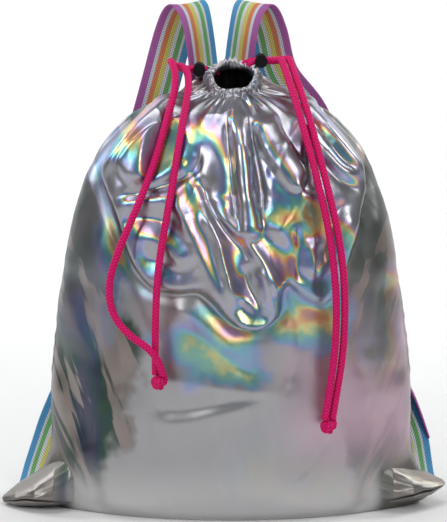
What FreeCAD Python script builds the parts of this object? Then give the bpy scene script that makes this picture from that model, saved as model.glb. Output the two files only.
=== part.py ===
import FreeCAD, Part
import math
import os

from FreeCAD import Placement, Rotation, Vector
from Sketcher import Constraint

# Drawstring backpack, standing on its flattened base.
# Frame: +X to the viewer's right, -Y towards the viewer (the front), +Z up, millimetres.
# Origin: centre of the base on the surface that the bag stands on.

os.makedirs("parts", exist_ok=True)
doc = FreeCAD.newDocument("drawstring_backpack")
sheet = doc.addObject("Spreadsheet::Sheet", "sizes")
sheet_rows = 0


def cell(alias, value):
    """Put one driving dimension in the sheet."""
    global sheet_rows
    sheet_rows += 1
    sheet.set(f"A{sheet_rows}", alias)
    sheet.set(f"B{sheet_rows}", str(value))
    sheet.setAlias(f"B{sheet_rows}", alias)


def size(alias):
    """Read one driving dimension back from the sheet."""
    return float(sheet.get(alias))


# ---------------------------------------------------------------- driving dimensions

cell("bag_centre_x", 6.0)
cell("seam_y", 8.0)             # the side seams lie in this plane
cell("fabric_wall", 2.4)        # foil fabric with its gathers, as one plain wall
cell("neck_x", 7.5)             # centre of the mouth's hem
cell("neck_y", 2.9)
cell("neck_z", 344.5)
cell("neck_tilt", 25.0)         # the hem leans towards the viewer
cell("hem_radius", 18.0)        # centre of the drawcord channel
cell("hem_width", 8.6)
cell("hem_height", 13.0)
cell("channel_width", 5.8)
cell("channel_height", 11.2)
cell("cord_diameter", 5.3)
cell("cord_pitch", 2.75)        # each drawcord lies this far above or below the hem's middle
cell("lock_diameter", 10.0)
cell("lock_bore", 7.6)
cell("lock_cap", 1.6)           # thickness of the plunger's round cap
cell("lock_gap", 2.2)           # cap to barrel at rest
cell("lock_travel", 2.0)
cell("lock_window", 6.1)        # height of the cord window
cell("window_start", 3.7)       # barrel's window, measured from the back of the cap
cell("window_rest", 11.6)       # clear length for two cords at rest
cell("plunger_diameter", 7.4)
cell("plunger_bridge", 1.5)
cell("spring_length", 4.0)
cell("spring_wire", 0.7)
cell("spring_diameter", 5.6)
cell("barrel_floor", 1.0)
cell("knot_radius", 7.0)
cell("knot_height", 14.0)
cell("webbing_width", 32.0)
cell("webbing_thickness", 1.6)

# level, half width, half depth, middle in y, lean: the bag's outer shape from base to hem
BAG_SECTIONS = [
    (0.0, 126.0, 54.0, -1.0, 0.0),
    (12.0, 140.0, 64.0, -1.0, 0.0),
    (45.0, 145.5, 70.0, -1.0, 0.0),
    (110.0, 145.5, 72.0, -1.8, 0.0),
    (170.0, 137.5, 72.5, -2.5, 0.0),
    (225.0, 127.0, 71.0, -3.0, 0.0),
    (270.0, 114.0, 64.0, -3.0, 0.0),
    (298.0, 99.0, 54.5, -2.5, 3.0),
    (318.0, 78.0, 43.0, -1.5, 10.0),
    (331.0, 50.0, 32.0, 1.5, 18.0),
]
for number, (level, wide, deep, middle, lean) in enumerate(BAG_SECTIONS):
    cell(f"bag_level_{number}", level)
    cell(f"bag_wide_{number}", wide)
    cell(f"bag_deep_{number}", deep)
    cell(f"bag_middle_{number}", middle)
    cell(f"bag_lean_{number}", lean)

# distance out, level of the middle on the left and on the right, half height, half depth:
# a bottom corner, root to tip (the right one's tip is lifted off the floor)
CORNER_SECTIONS = [
    (100.0, 17.6, 17.6, 17.0, 40.0),
    (132.0, 15.6, 17.0, 15.0, 36.0),
    (152.0, 12.4, 16.5, 11.7, 27.0),
    (168.0, 9.0, 16.5, 7.5, 15.0),
    (178.5, 8.0, 17.5, 3.0, 5.0),
]
for number, (out, left_rise, right_rise, tall, deep) in enumerate(CORNER_SECTIONS):
    cell(f"corner_out_{number}", out)
    cell(f"corner_rise_left_{number}", left_rise)
    cell(f"corner_rise_right_{number}", right_rise)
    cell(f"corner_tall_{number}", tall)
    cell(f"corner_deep_{number}", deep)
cell("corner_y", -16.0)
doc.recompute()

# ---------------------------------------------------------------- helpers


def origin_plane(body, role):
    """Find a body's own origin plane."""
    return next(item for item in body.Origin.OriginFeatures if item.Role == role)


def attach(sketch, body, role, offset=None):
    """Lay a sketch on one of its body's origin planes."""
    sketch.AttachmentSupport = [(origin_plane(body, role), "")]
    sketch.MapMode = "FlatFace"
    if offset is not None:
        sketch.AttachmentOffset = offset


def bind(sketch, label, constraint, expression):
    """Add a named size constraint and bind it to a sheet expression."""
    sketch.renameConstraint(sketch.addConstraint(constraint), label)
    sketch.setExpression("Constraints." + label, expression)


def ellipse_sketch(body, name, role, offset, half_long, half_short):
    """An ellipse whose two diameters are bound to sheet expressions."""
    sketch = body.newObject("Sketcher::SketchObject", name)
    attach(sketch, body, role, offset)
    ring = sketch.addGeometry(Part.Ellipse(Vector(60, 0, 0), Vector(0, 30, 0), Vector(0, 0, 0)), False)
    sketch.exposeInternalGeometry(ring)
    sketch.addConstraint(Constraint("Coincident", ring, 3, -1, 1))
    sketch.addConstraint(Constraint("Horizontal", ring + 1))
    bind(sketch, "long_size", Constraint("Distance", ring + 1, 120.0), f"2 * ({half_long})")
    bind(sketch, "short_size", Constraint("Distance", ring + 2, 60.0), f"2 * ({half_short})")
    return sketch


def loft_body(name, sketches_of):
    """A body that is one smooth loft through the sketches that sketches_of makes."""
    body = doc.addObject("PartDesign::Body", name)
    sketches = sketches_of(body)
    loft = body.newObject("PartDesign::AdditiveLoft", name + "_loft")
    loft.Profile = sketches[0]
    loft.Sections = [(item, [""]) for item in sketches[1:]]
    loft.Ruled = False
    return body


def block(name, low, high):
    """A plain box used as a tool."""
    item = doc.addObject("Part::Box", name)
    item.Placement = Placement(Vector(*low), Rotation())
    item.Length = high[0] - low[0]
    item.Width = high[1] - low[1]
    item.Height = high[2] - low[2]
    return item


def boolean(kind, name, base, tool):
    """A two-piece Part boolean with its own label."""
    item = doc.addObject("Part::" + kind, name)
    item.Base = base
    item.Tool = tool
    item.Label = name
    return item


def feature(name, shape, placement=None):
    """A Part::Feature whose shape is computed."""
    item = doc.addObject("Part::Feature", name)
    item.Shape = shape
    item.Label = name
    if placement is not None:
        item.Placement = placement
    return item


nodes = {}


def keep(name, item):
    """Register an object as a finished sub-part of the bag."""
    item.Label = name
    nodes[name] = item
    return item


# ---------------------------------------------------------------- neck frame

tilt = math.radians(size("neck_tilt"))
neck = Placement(
    Vector(size("neck_x"), size("neck_y"), size("neck_z")),
    Rotation(Vector(1, 0, 0), size("neck_tilt")),
)

# ---------------------------------------------------------------- bag panels


def bag_sketches(inset):
    """The bag's level sections, moved inwards by inset (a sheet expression)."""
    def make(body):
        sketches = []
        for number, section in enumerate(BAG_SECTIONS):
            level, _, _, middle, lean = section
            lift = size("fabric_wall") if number == 0 and inset != "0" else 0.0
            offset = Placement(
                Vector(size("bag_centre_x"), middle, level + lift),
                Rotation(Vector(1, 0, 0), lean),
            )
            sketches.append(ellipse_sketch(
                body, f"{body.Name}_level_{number}", "XY_Plane", offset,
                f"sizes.bag_wide_{number} - {inset}",
                f"sizes.bag_deep_{number} - {inset}",
            ))
        # the last section is the hem's lower edge
        drop = neck.Rotation.multVec(Vector(0, 0, -size("hem_height") / 2))
        offset = Placement(neck.Base + drop, neck.Rotation)
        top = "sizes.hem_radius + sizes.hem_width / 2"
        sketches.append(ellipse_sketch(
            body, f"{body.Name}_top", "XY_Plane", offset, f"{top} - {inset}", f"{top} - 0.1 - {inset}",
        ))
        return sketches
    return make


bag_form = loft_body("bag_form", bag_sketches("0"))
bag_hollow = loft_body("bag_hollow", bag_sketches("sizes.fabric_wall"))
bag_shell = boolean("Cut", "bag_shell", bag_form, bag_hollow)
FAR = 400.0
front_block = block("front_block", (-FAR, -FAR, -10), (FAR, size("seam_y"), FAR))
front_block.setExpression("Width", f"{FAR} + sizes.seam_y")
back_block = block("back_block", (-FAR, size("seam_y"), -10), (FAR, FAR, FAR))
keep("front_panel", boolean("Common", "front_panel", bag_shell, front_block))
keep("back_panel", boolean("Common", "back_panel", bag_shell, back_block))

# ---------------------------------------------------------------- hem with its drawcord channel

hem_body = doc.addObject("PartDesign::Body", "hem_ring")
hem_body.Placement = neck


def stadium(sketch, middle, wide, tall, label):
    """An upright rounded slot, centred at x = middle, sized by sheet expressions."""
    half = 2.0
    rise = 3.0
    up = Vector(0, 0, 1)
    outline = [
        Part.LineSegment(Vector(middle + half, -rise, 0), Vector(middle + half, rise, 0)),
        Part.ArcOfCircle(Part.Circle(Vector(middle, rise, 0), up, half), 0.0, math.pi),
        Part.LineSegment(Vector(middle - half, rise, 0), Vector(middle - half, -rise, 0)),
        Part.ArcOfCircle(Part.Circle(Vector(middle, -rise, 0), up, half), math.pi, 2 * math.pi),
    ]
    first = sketch.addGeometry(outline, False)[0]
    over = first + 1
    under = first + 3
    for step in range(4):
        sketch.addConstraint(Constraint("Tangent", first + step, 2, first + (step + 1) % 4, 1))
    sketch.addConstraint(Constraint("Vertical", first))
    sketch.addConstraint(Constraint("Equal", over, under))
    bind(sketch, label + "_across", Constraint("DistanceX", -1, 1, over, 3, middle), "sizes.hem_radius")
    bind(sketch, label + "_round", Constraint("Radius", over, half), f"({wide}) / 2")
    straight = f"({tall} - {wide}) / 2"
    bind(sketch, label + "_low", Constraint("DistanceY", under, 3, -1, 1, rise), straight)
    bind(sketch, label + "_high", Constraint("DistanceY", -1, 1, over, 3, rise), straight)


hem_sketch = hem_body.newObject("Sketcher::SketchObject", "hem_section")
attach(hem_sketch, hem_body, "XZ_Plane")
stadium(hem_sketch, size("hem_radius"), "sizes.hem_width", "sizes.hem_height", "outer")
stadium(hem_sketch, size("hem_radius"), "sizes.channel_width", "sizes.channel_height", "channel")
hem_turn = hem_body.newObject("PartDesign::Revolution", "hem_turn")
hem_turn.Profile = hem_sketch
hem_turn.ReferenceAxis = (hem_sketch, ["V_Axis"])
hem_turn.Angle = 360.0

# ---------------------------------------------------------------- free drawcord strands


def tube(name, points, diameter):
    """Straight runs joined by tangent arcs, swept with a round section."""
    points = [Vector(*point) for point in points]
    edges = []
    start = points[0]
    radii = []
    for before, corner, after in zip(points, points[1:], points[2:]):
        run_in = (corner - before).Length
        run_out = (after - corner).Length
        way_in = (corner - before).normalize()
        way_out = (after - corner).normalize()
        turn = way_in.getAngle(way_out)
        reach = 0.45 * min(run_in, run_out)
        radii.append(reach / math.tan(turn / 2))
        arc_start = corner - way_in * reach
        arc_end = corner + way_out * reach
        bisector = (way_out - way_in).normalize()
        radius = radii[-1]
        centre = corner + bisector * math.hypot(radius, reach)
        arc_middle = centre - bisector * radius
        edges.append(Part.LineSegment(start, arc_start).toShape())
        edges.append(Part.Arc(arc_start, arc_middle, arc_end).toShape())
        start = arc_end
    edges.append(Part.LineSegment(start, points[-1]).toShape())
    path = Part.Wire(edges)
    direction = (points[1] - points[0]).normalize()
    section = Part.Wire([Part.Circle(points[0], direction, diameter / 2).toShape()])
    solid = path.makePipeShell([section], True, False, 1)
    expected = math.pi * diameter ** 2 / 4 * path.Length
    print(f"{name}: length {path.Length:.1f}, radii {[round(r, 1) for r in radii]}, "
          f"volume {solid.Volume:.0f} of {expected:.0f}")
    return solid


# Routes from the hem to the knot. The first two runs go through the cord lock's window.
STRANDS = {
    "drawcord_right_front_strand": [
        (20.2, 12.5, 353.2), (22.8, 12.7, 358.0), (41.5, 12.7, 358.0), (46.3, 6.5, 359.5),
        (47.0, -4.0, 357.5), (50.0, -17.5, 348.5), (55.0, -34.0, 334.0), (60.5, -50.0, 315.5),
        (67.0, -62.0, 292.5), (73.0, -72.5, 268.0), (79.5, -80.0, 241.0), (84.0, -83.8, 212.0),
        (86.6, -84.0, 182.0), (86.4, -83.3, 152.0), (83.6, -82.4, 121.0), (78.6, -81.0, 88.0),
    ],
    "drawcord_right_back_strand": [
        (15.0, 17.2, 354.6), (21.5, 18.3, 358.0), (42.5, 18.3, 358.0), (50.0, 14.5, 359.5),
        (52.8, 4.0, 359.5), (54.5, -9.0, 353.5), (58.5, -24.0, 342.5), (64.0, -40.0, 326.5),
        (70.0, -54.0, 305.0), (76.0, -65.0, 282.0), (82.5, -74.0, 256.5), (88.5, -79.5, 229.5),
        (92.5, -81.8, 199.0), (93.4, -81.3, 168.0), (91.8, -80.3, 136.0), (88.0, -79.4, 111.0),
        (84.6, -78.5, 88.0),
    ],
    "drawcord_left_front_strand": [
        (-8.4, 12.6, 346.0), (-12.2, 13.15, 351.0), (-30.5, 13.15, 351.0), (-35.5, 7.5, 353.5),
        (-34.0, -1.5, 355.5), (-28.8, -9.0, 352.5), (-27.0, -19.0, 343.5), (-28.8, -33.0, 330.0),
        (-32.2, -47.5, 312.5), (-35.6, -60.0, 292.0), (-39.2, -71.0, 268.5), (-44.0, -80.0, 242.5),
        (-48.8, -84.0, 215.5), (-51.5, -84.6, 187.0), (-52.4, -84.0, 159.0), (-52.6, -83.2, 138.0),
        (-52.5, -82.4, 124.0),
    ],
    "drawcord_left_back_strand": [
        (-2.8, 17.4, 348.2), (-9.0, 18.75, 351.0), (-31.5, 18.75, 351.0), (-39.5, 15.5, 354.0),
        (-42.5, 6.5, 358.5), (-40.5, -3.5, 358.0), (-37.5, -13.5, 349.5), (-38.5, -25.0, 335.0),
        (-43.5, -38.5, 318.5), (-49.5, -52.5, 297.5), (-57.5, -65.0, 273.5), (-68.5, -75.5, 247.5),
        (-80.0, -79.8, 221.5), (-88.5, -80.0, 195.0), (-86.0, -81.0, 171.0), (-72.5, -86.0, 155.5),
        (-58.5, -90.6, 147.5), (-49.5, -90.2, 137.0), (-46.6, -85.0, 124.0),
    ],
}
cord = size("cord_diameter")
for name, route in STRANDS.items():
    keep(name, feature(name, tube(name, route, cord)))

# ---------------------------------------------------------------- hem halves, with the cords' exit holes

EXIT_DIAMETER = cord + 1.0
REACH = 40.0                    # half size of the blocks that halve the hem
exits = []
for name, route in STRANDS.items():
    exits.append(tube(name + "_exit", route[:3], EXIT_DIAMETER))
hem_open = boolean("Cut", "hem_open", hem_body, feature("hem_exits", exits[0].fuse(exits[1:])))
hem_front_block = block("hem_front_block", (-REACH, -REACH, -REACH), (REACH, 0, REACH))
hem_front_block.Placement = neck.multiply(hem_front_block.Placement)
hem_back_block = block("hem_back_block", (-REACH, 0, -REACH), (REACH, REACH, REACH))
hem_back_block.Placement = neck.multiply(hem_back_block.Placement)
keep("hem_front", boolean("Common", "hem_front", hem_open, hem_front_block))
keep("hem_back", boolean("Common", "hem_back", hem_open, hem_back_block))

# ---------------------------------------------------------------- the drawcords' runs in the hem

# each drawcord goes round the channel as a plain ring
for side, pitch_sign in (("right", 1), ("left", -1)):
    ring = doc.addObject("Part::Torus", f"drawcord_{side}_hem_run")
    ring.setExpression("Radius1", "sizes.hem_radius")
    ring.setExpression("Radius2", "sizes.cord_diameter / 2")
    ring.Placement = neck.multiply(Placement(Vector(0, 0, pitch_sign * size("cord_pitch")), Rotation()))
    keep(f"drawcord_{side}_hem_run", ring)


# ---------------------------------------------------------------- knots


def knot(name):
    """A small barrel-shaped knot with a flat top where the two strands enter."""
    body = doc.addObject("PartDesign::Body", name)
    sketch = body.newObject("Sketcher::SketchObject", name + "_profile")
    attach(sketch, body, "XZ_Plane")
    height = size("knot_height")
    wide = size("knot_radius")
    neck_wide = wide * 0.86
    foot = wide * 0.62
    top = sketch.addGeometry(Part.LineSegment(Vector(0, 0, 0), Vector(neck_wide, 0, 0)), False)
    side = sketch.addGeometry(
        Part.Arc(Vector(neck_wide, 0, 0), Vector(wide, -height * 0.5, 0), Vector(foot, -height, 0)), False)
    base = sketch.addGeometry(Part.LineSegment(Vector(foot, -height, 0), Vector(0, -height, 0)), False)
    axis = sketch.addGeometry(Part.LineSegment(Vector(0, -height, 0), Vector(0, 0, 0)), False)
    sketch.addConstraint(Constraint("Coincident", top, 1, -1, 1))
    sketch.addConstraint(Constraint("Coincident", top, 1, axis, 2))
    sketch.addConstraint(Constraint("Coincident", base, 2, axis, 1))
    sketch.addConstraint(Constraint("Coincident", top, 2, side, 2))
    sketch.addConstraint(Constraint("Coincident", side, 1, base, 1))
    sketch.addConstraint(Constraint("Horizontal", top))
    sketch.addConstraint(Constraint("Horizontal", base))
    sketch.addConstraint(Constraint("Vertical", axis))
    bind(sketch, "top_wide", Constraint("Distance", top, neck_wide), "sizes.knot_radius * 0.86")
    bind(sketch, "foot_wide", Constraint("Distance", base, foot), "sizes.knot_radius * 0.62")
    bind(sketch, "tall", Constraint("Distance", axis, height), "sizes.knot_height")
    turn = body.newObject("PartDesign::Revolution", name + "_turn")
    turn.Profile = sketch
    turn.ReferenceAxis = (sketch, ["V_Axis"])
    turn.Angle = 360.0
    return body


STRAND_BITE = 1.2               # the strands end this far inside their knot

for side in ("right", "left"):
    front = STRANDS[f"drawcord_{side}_front_strand"]
    back = STRANDS[f"drawcord_{side}_back_strand"]
    ends = [Vector(*front[-1]), Vector(*back[-1])]
    top_centre = (ends[0] + ends[1]) * 0.5
    name = f"drawcord_{side}_knot"
    item = keep(name, knot(name))
    item.Placement = Placement(top_centre + Vector(0, 0, STRAND_BITE), Rotation())

# ---------------------------------------------------------------- cord locks


def circle_sketch(body, name, radius, level):
    """A circle about the body's axis at the given level."""
    sketch = body.newObject("Sketcher::SketchObject", name)
    attach(sketch, body, "XY_Plane", Placement(Vector(0, 0, level), Rotation()))
    made = sketch.addGeometry(Part.Circle(Vector(0, 0, 0), Vector(0, 0, 1), 3.0), False)
    sketch.addConstraint(Constraint("Coincident", made, 3, -1, 1))
    bind(sketch, "round_size", Constraint("Radius", made, 3.0), radius)
    return sketch


def window_sketch(body, name, start, end):
    """The cord window's outline, seen along the cords (on the YZ plane)."""
    sketch = body.newObject("Sketcher::SketchObject", name)
    attach(sketch, body, "YZ_Plane")
    corners = [Vector(-2, 4, 0), Vector(2, 4, 0), Vector(2, 9, 0), Vector(-2, 9, 0)]
    lines = [
        sketch.addGeometry(Part.LineSegment(corners[step], corners[(step + 1) % 4]), False)
        for step in range(4)
    ]
    for step in range(4):
        sketch.addConstraint(Constraint("Coincident", lines[step], 2, lines[(step + 1) % 4], 1))
    for step in (0, 2):
        sketch.addConstraint(Constraint("Horizontal", lines[step]))
        sketch.addConstraint(Constraint("Vertical", lines[step + 1]))
    half = "sizes.lock_window / 2"
    bind(sketch, "left_side", Constraint("DistanceX", lines[0], 1, -1, 1, 2.0), half)
    bind(sketch, "right_side", Constraint("DistanceX", -1, 1, lines[0], 2, 2.0), half)
    bind(sketch, "window_from", Constraint("DistanceY", -1, 1, lines[0], 1, 4.0), start)
    bind(sketch, "window_to", Constraint("DistanceY", -1, 1, lines[2], 1, 9.0), end)
    return sketch


def pad(body, name, sketch, length):
    """A pad of the given length (a sheet expression) along the body's axis."""
    item = body.newObject("PartDesign::Pad", name)
    item.Profile = sketch
    item.setExpression("Length", length)
    return item


def pocket(body, name, sketch, length, both_ways=False):
    """A pocket; it is centred on its sketch if both_ways."""
    item = body.newObject("PartDesign::Pocket", name)
    item.Profile = sketch
    if both_ways:
        item.SideType = "Symmetric"
    else:
        item.Reversed = True
    item.setExpression("Length", length)
    return item


BARREL_START = "sizes.lock_gap"
WINDOW_END = "(sizes.window_start + sizes.window_rest + sizes.lock_travel)"
PLUNGER_WINDOW_START = "(sizes.window_start - sizes.lock_travel - 0.3)"
PLUNGER_WINDOW_END = "(sizes.window_start + sizes.window_rest)"
PLUNGER_END = f"({PLUNGER_WINDOW_END} + sizes.plunger_bridge)"
SPRING_END = f"({PLUNGER_END} + sizes.spring_length)"
BARREL_END = f"({SPRING_END} + sizes.barrel_floor)"


def lock_barrel(name):
    """The outer barrel: a blind bore for the plunger and a window across it for two cords."""
    body = doc.addObject("PartDesign::Body", name)
    outer = circle_sketch(body, name + "_outer", "sizes.lock_diameter / 2", size("lock_gap"))
    pad(body, name + "_pad", outer, f"{BARREL_END} - {BARREL_START}")
    bore = circle_sketch(body, name + "_bore", "sizes.lock_bore / 2", size("lock_gap"))
    pocket(body, name + "_bore_cut", bore, f"{SPRING_END} - {BARREL_START}")
    window = window_sketch(body, name + "_window", "sizes.window_start", WINDOW_END)
    pocket(body, name + "_window_cut", window, "4 * sizes.lock_diameter", both_ways=True)
    return body


def lock_plunger(name):
    """The plunger: a round cap and a stem with its own window."""
    body = doc.addObject("PartDesign::Body", name)
    cap = circle_sketch(body, name + "_cap", "sizes.lock_diameter / 2", -size("lock_cap"))
    pad(body, name + "_cap_pad", cap, "sizes.lock_cap")
    stem = circle_sketch(body, name + "_stem", "sizes.plunger_diameter / 2", 0.0)
    pad(body, name + "_stem_pad", stem, PLUNGER_END)
    window = window_sketch(body, name + "_window", PLUNGER_WINDOW_START, PLUNGER_WINDOW_END)
    pocket(body, name + "_window_cut", window, "4 * sizes.lock_diameter", both_ways=True)
    return body


def lock_spring(name):
    """A short coil spring between the plunger's foot and the barrel's floor."""
    wire = size("spring_wire")
    play = 0.1                  # left free at each end
    turns = 3
    corners = 8                 # route points in each turn
    rise = size("spring_length") - wire - 2 * play
    foot = size("window_start") + size("window_rest") + size("plunger_bridge")
    radius = size("spring_diameter") / 2
    route = []
    for number in range(turns * corners + 1):
        turn = 2 * math.pi * number / corners
        level = foot + play + wire / 2 + rise * number / (turns * corners)
        route.append((radius * math.cos(turn), radius * math.sin(turn), level))
    return feature(name, tube(name, route, wire))


LOCK_PLACES = {
    "right": Vector(30.0, 6.0, 358.0),
    "left": Vector(-19.4, 6.45, 351.0),
}
for side, place in LOCK_PLACES.items():
    seat = Placement(place, Rotation(Vector(1, 0, 0), -90))
    for make, part_name in ((lock_barrel, "barrel"), (lock_plunger, "plunger"), (lock_spring, "spring")):
        name = f"cord_lock_{side}_{part_name}"
        item = keep(name, make(name))
        item.Placement = seat

# ---------------------------------------------------------------- shoulder straps


SPAN_STEPS = 4


def between(before, start, end, after, part):
    """A point on the smooth curve (Catmull-Rom) from start to end."""
    return (
        start * 2
        + (end - before) * part
        + (before * 2 - start * 5 + end * 4 - after) * part ** 2
        + (start * 3 - before - end * 3 + after) * part ** 3
    ) * 0.5


def smooth(values):
    """Vectors with SPAN_STEPS smooth steps in every span."""
    padded = [values[0] * 2 - values[1]] + values + [values[-1] * 2 - values[-2]]
    result = []
    for number in range(len(values) - 1):
        for step in range(SPAN_STEPS):
            result.append(between(*padded[number:number + 4], step / SPAN_STEPS))
    return result + [values[-1]]


def ribbon_sections(stations):
    """Webbing's cross-sections, smoothly through stations of (centre, direction across to its blue edge)."""
    wide = size("webbing_width") / 2
    thick = size("webbing_thickness") / 2
    centres = smooth([Vector(*centre) for centre, _ in stations])
    directions = smooth([Vector(*across) for _, across in stations])
    wires = []
    for number, middle in enumerate(centres):
        before = centres[max(number - 1, 0)]
        after = centres[min(number + 1, len(centres) - 1)]
        along = (after - before).normalize()
        across = directions[number] - along * directions[number].dot(along)
        across.normalize()
        out = along.cross(across).normalize()
        corners = [
            middle - across * wide - out * thick,
            middle + across * wide - out * thick,
            middle + across * wide + out * thick,
            middle - across * wide + out * thick,
        ]
        wires.append(Part.makePolygon(corners + corners[:1]))
    return wires


# the loop over the shoulder, then the run down the back with its half turn
LEFT_STRAP = [
    ((-14.0, 28.6, 316.0), (0.75, 0.66, 0.0)),
    ((-15.5, 36.3, 336.0), (0.73, 0.68, 0.0)),
    ((-17.0, 40.7, 356.0), (0.72, 0.69, 0.0)),
    ((-20.0, 41.8, 379.0), (0.72, 0.69, 0.05)),
    ((-23.5, 44.0, 394.5), (0.76, 0.64, 0.1)),
    ((-28.5, 49.5, 401.5), (0.85, 0.5, 0.12)),
    ((-34.0, 55.0, 395.5), (0.93, 0.3, 0.2)),
    ((-40.5, 58.5, 377.0), (0.96, 0.12, 0.25)),
    ((-50.0, 61.5, 343.0), (0.96, 0.0, 0.27)),
    ((-60.0, 65.0, 308.0), (0.96, 0.0, 0.27)),
    ((-73.0, 68.5, 262.0), (0.96, 0.0, 0.27)),
    ((-87.0, 68.0, 212.0), (0.96, 0.05, 0.27)),
    ((-98.0, 65.5, 172.0), (0.80, 0.6, 0.2)),
    ((-107.5, 62.0, 140.0), (0.0, 1.0, 0.0)),
    ((-118.0, 57.5, 108.0), (-0.80, 0.6, -0.2)),
    ((-129.5, 50.0, 77.0), (-0.94, 0.1, -0.35)),
    ((-142.5, 39.0, 46.0), (-0.93, 0.0, -0.37)),
    ((-150.5, 19.0, 25.0), (-0.93, 0.0, -0.37)),
    ((-154.0, 0.0, 14.0), (-0.93, 0.0, -0.37)),
]
LOOP_END = 9                    # the station where the loop becomes the run


def mirrored(stations, shift):
    """The same webbing for the other shoulder, about the plane x = shift / 2."""
    return [
        ((shift - centre[0], centre[1], centre[2]), (-across[0], across[1], across[2]))
        for centre, across in stations
    ]


LOOP_SHIFT = -4.0
RUN_SHIFT = 12.0
RIGHT_STRAP = mirrored(LEFT_STRAP[:LOOP_END], LOOP_SHIFT) + mirrored(LEFT_STRAP[LOOP_END:-2], RUN_SHIFT)
RIGHT_STRAP.append(((158.5, 27.0, 27.0), (0.93, 0.0, -0.37)))
RIGHT_STRAP.append(((160.0, 11.0, 16.0), (0.88, -0.2, -0.42)))
RIGHT_TAIL = [
    ((148.0, 50.0, 92.0), (0.0, 1.0, 0.0)),
    ((157.0, 52.0, 80.0), (0.0, 1.0, 0.0)),
    ((165.5, 53.0, 60.0), (0.0, 1.0, 0.0)),
    ((173.0, 52.0, 38.0), (0.0, 1.0, 0.0)),
]
for side, stations in (("left", LEFT_STRAP), ("right", RIGHT_STRAP)):
    sections = ribbon_sections(stations)
    turnover = LOOP_END * SPAN_STEPS
    whole_loop = feature(f"webbing_{side}_loop", Part.makeLoft(sections[:turnover + 1], True, True))
    keep(f"strap_{side}_loop", boolean("Cut", f"strap_{side}_loop", whole_loop, bag_form))
    keep(f"strap_{side}_run", feature(f"strap_{side}_run", Part.makeLoft(sections[turnover:], True, True)))
tail = Part.makeLoft(ribbon_sections(RIGHT_TAIL), True, True)
keep("strap_right_tail", feature("strap_right_tail", tail))

# ---------------------------------------------------------------- bottom corners


def corner_sketches(sign):
    """Flattened sections of a bottom corner, from inside the bag out to its tip."""
    def make(body):
        sketches = []
        for number, (out, left_rise, right_rise, _, _) in enumerate(CORNER_SECTIONS):
            rise = left_rise if sign < 0 else right_rise
            # on the YZ plane a sketch's x runs along Y, its y along Z and its normal along X
            offset = Placement(Vector(size("corner_y"), rise, sign * out), Rotation())
            sketches.append(ellipse_sketch(
                body, f"{body.Name}_{number}", "YZ_Plane", offset,
                f"sizes.corner_deep_{number}", f"sizes.corner_tall_{number}",
            ))
        return sketches
    return make


for side, sign in (("left", -1), ("right", 1)):
    form = loft_body(f"corner_form_{side}", corner_sketches(sign))
    outside = boolean("Cut", f"corner_outside_{side}", form, bag_form)
    keep(f"corner_{side}", boolean("Cut", f"corner_{side}", outside, nodes[f"strap_{side}_run"]))

# ---------------------------------------------------------------- check and write

doc.recompute()
for item in doc.Objects:
    if "Invalid" in item.State or "Error" in item.State:
        raise RuntimeError(f"{item.Name}: {item.State}")
for name, item in nodes.items():
    shape = item.Shape
    if shape.isNull() or not shape.isValid() or not shape.Solids:
        raise RuntimeError(f"{name}: no valid solid")
    shape.exportStep(f"parts/{name}.step")
    box = shape.optimalBoundingBox(False)
    print(f"{name}: {len(shape.Solids)} solid, {shape.Volume:.0f} mm3, "
          f"x {box.XMin:.1f}..{box.XMax:.1f}, y {box.YMin:.1f}..{box.YMax:.1f}, z {box.ZMin:.1f}..{box.ZMax:.1f}")
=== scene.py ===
"""Looks of a stuffed drawstring backpack of holographic foil fabric.

Lengths are millimetres in the CAD frame, unless a comment says otherwise: +X to the viewer's right,
-Y to the front, +Z up, origin at the centre of the base. The camera, the lights and the materials use
Blender's own metres.
"""

import math

import bpy
import numpy as np
from mathutils import Matrix, Vector
from mathutils.bvhtree import BVHTree


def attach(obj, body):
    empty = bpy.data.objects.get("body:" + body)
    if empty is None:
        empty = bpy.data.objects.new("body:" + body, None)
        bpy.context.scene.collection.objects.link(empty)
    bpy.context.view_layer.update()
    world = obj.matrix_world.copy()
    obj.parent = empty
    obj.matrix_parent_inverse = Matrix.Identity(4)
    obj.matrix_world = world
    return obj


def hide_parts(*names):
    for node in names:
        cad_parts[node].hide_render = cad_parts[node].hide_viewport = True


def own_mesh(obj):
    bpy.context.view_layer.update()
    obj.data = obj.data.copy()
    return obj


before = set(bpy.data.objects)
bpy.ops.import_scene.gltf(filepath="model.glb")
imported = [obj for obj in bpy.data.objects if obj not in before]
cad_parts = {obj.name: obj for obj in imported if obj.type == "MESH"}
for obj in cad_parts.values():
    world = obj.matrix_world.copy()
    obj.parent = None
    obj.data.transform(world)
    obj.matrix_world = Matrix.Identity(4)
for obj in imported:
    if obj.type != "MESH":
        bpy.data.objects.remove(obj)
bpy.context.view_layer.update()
MM = 0.001

# ---------------- camera

TARGET = Vector((0.0, 0.0, 0.205))
DISTANCE = 1.6
ELEVATION = math.radians(10.0)
VIEW_TALL = 0.4202              # what the picture's height takes in at the target, metres
VIEW_RISE = -0.0162             # upward shift of the view, as a share of the picture's height
SENSOR = 24.0                   # height of the camera's sensor, millimetres


def make_camera():
    data = bpy.data.cameras.new("camera")
    data.sensor_fit = "VERTICAL"
    data.sensor_height = SENSOR
    data.lens = SENSOR * DISTANCE / VIEW_TALL
    data.shift_y = VIEW_RISE
    data.clip_start = 0.05
    camera = bpy.data.objects.new("camera", data)
    bpy.context.scene.collection.objects.link(camera)
    way = Vector((0.0, -math.cos(ELEVATION), math.sin(ELEVATION)))
    camera.location = TARGET + way * DISTANCE
    camera.rotation_euler = (-way).to_track_quat("-Z", "Y").to_euler()
    bpy.context.scene.camera = camera


make_camera()

# ---------------- helpers


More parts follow.
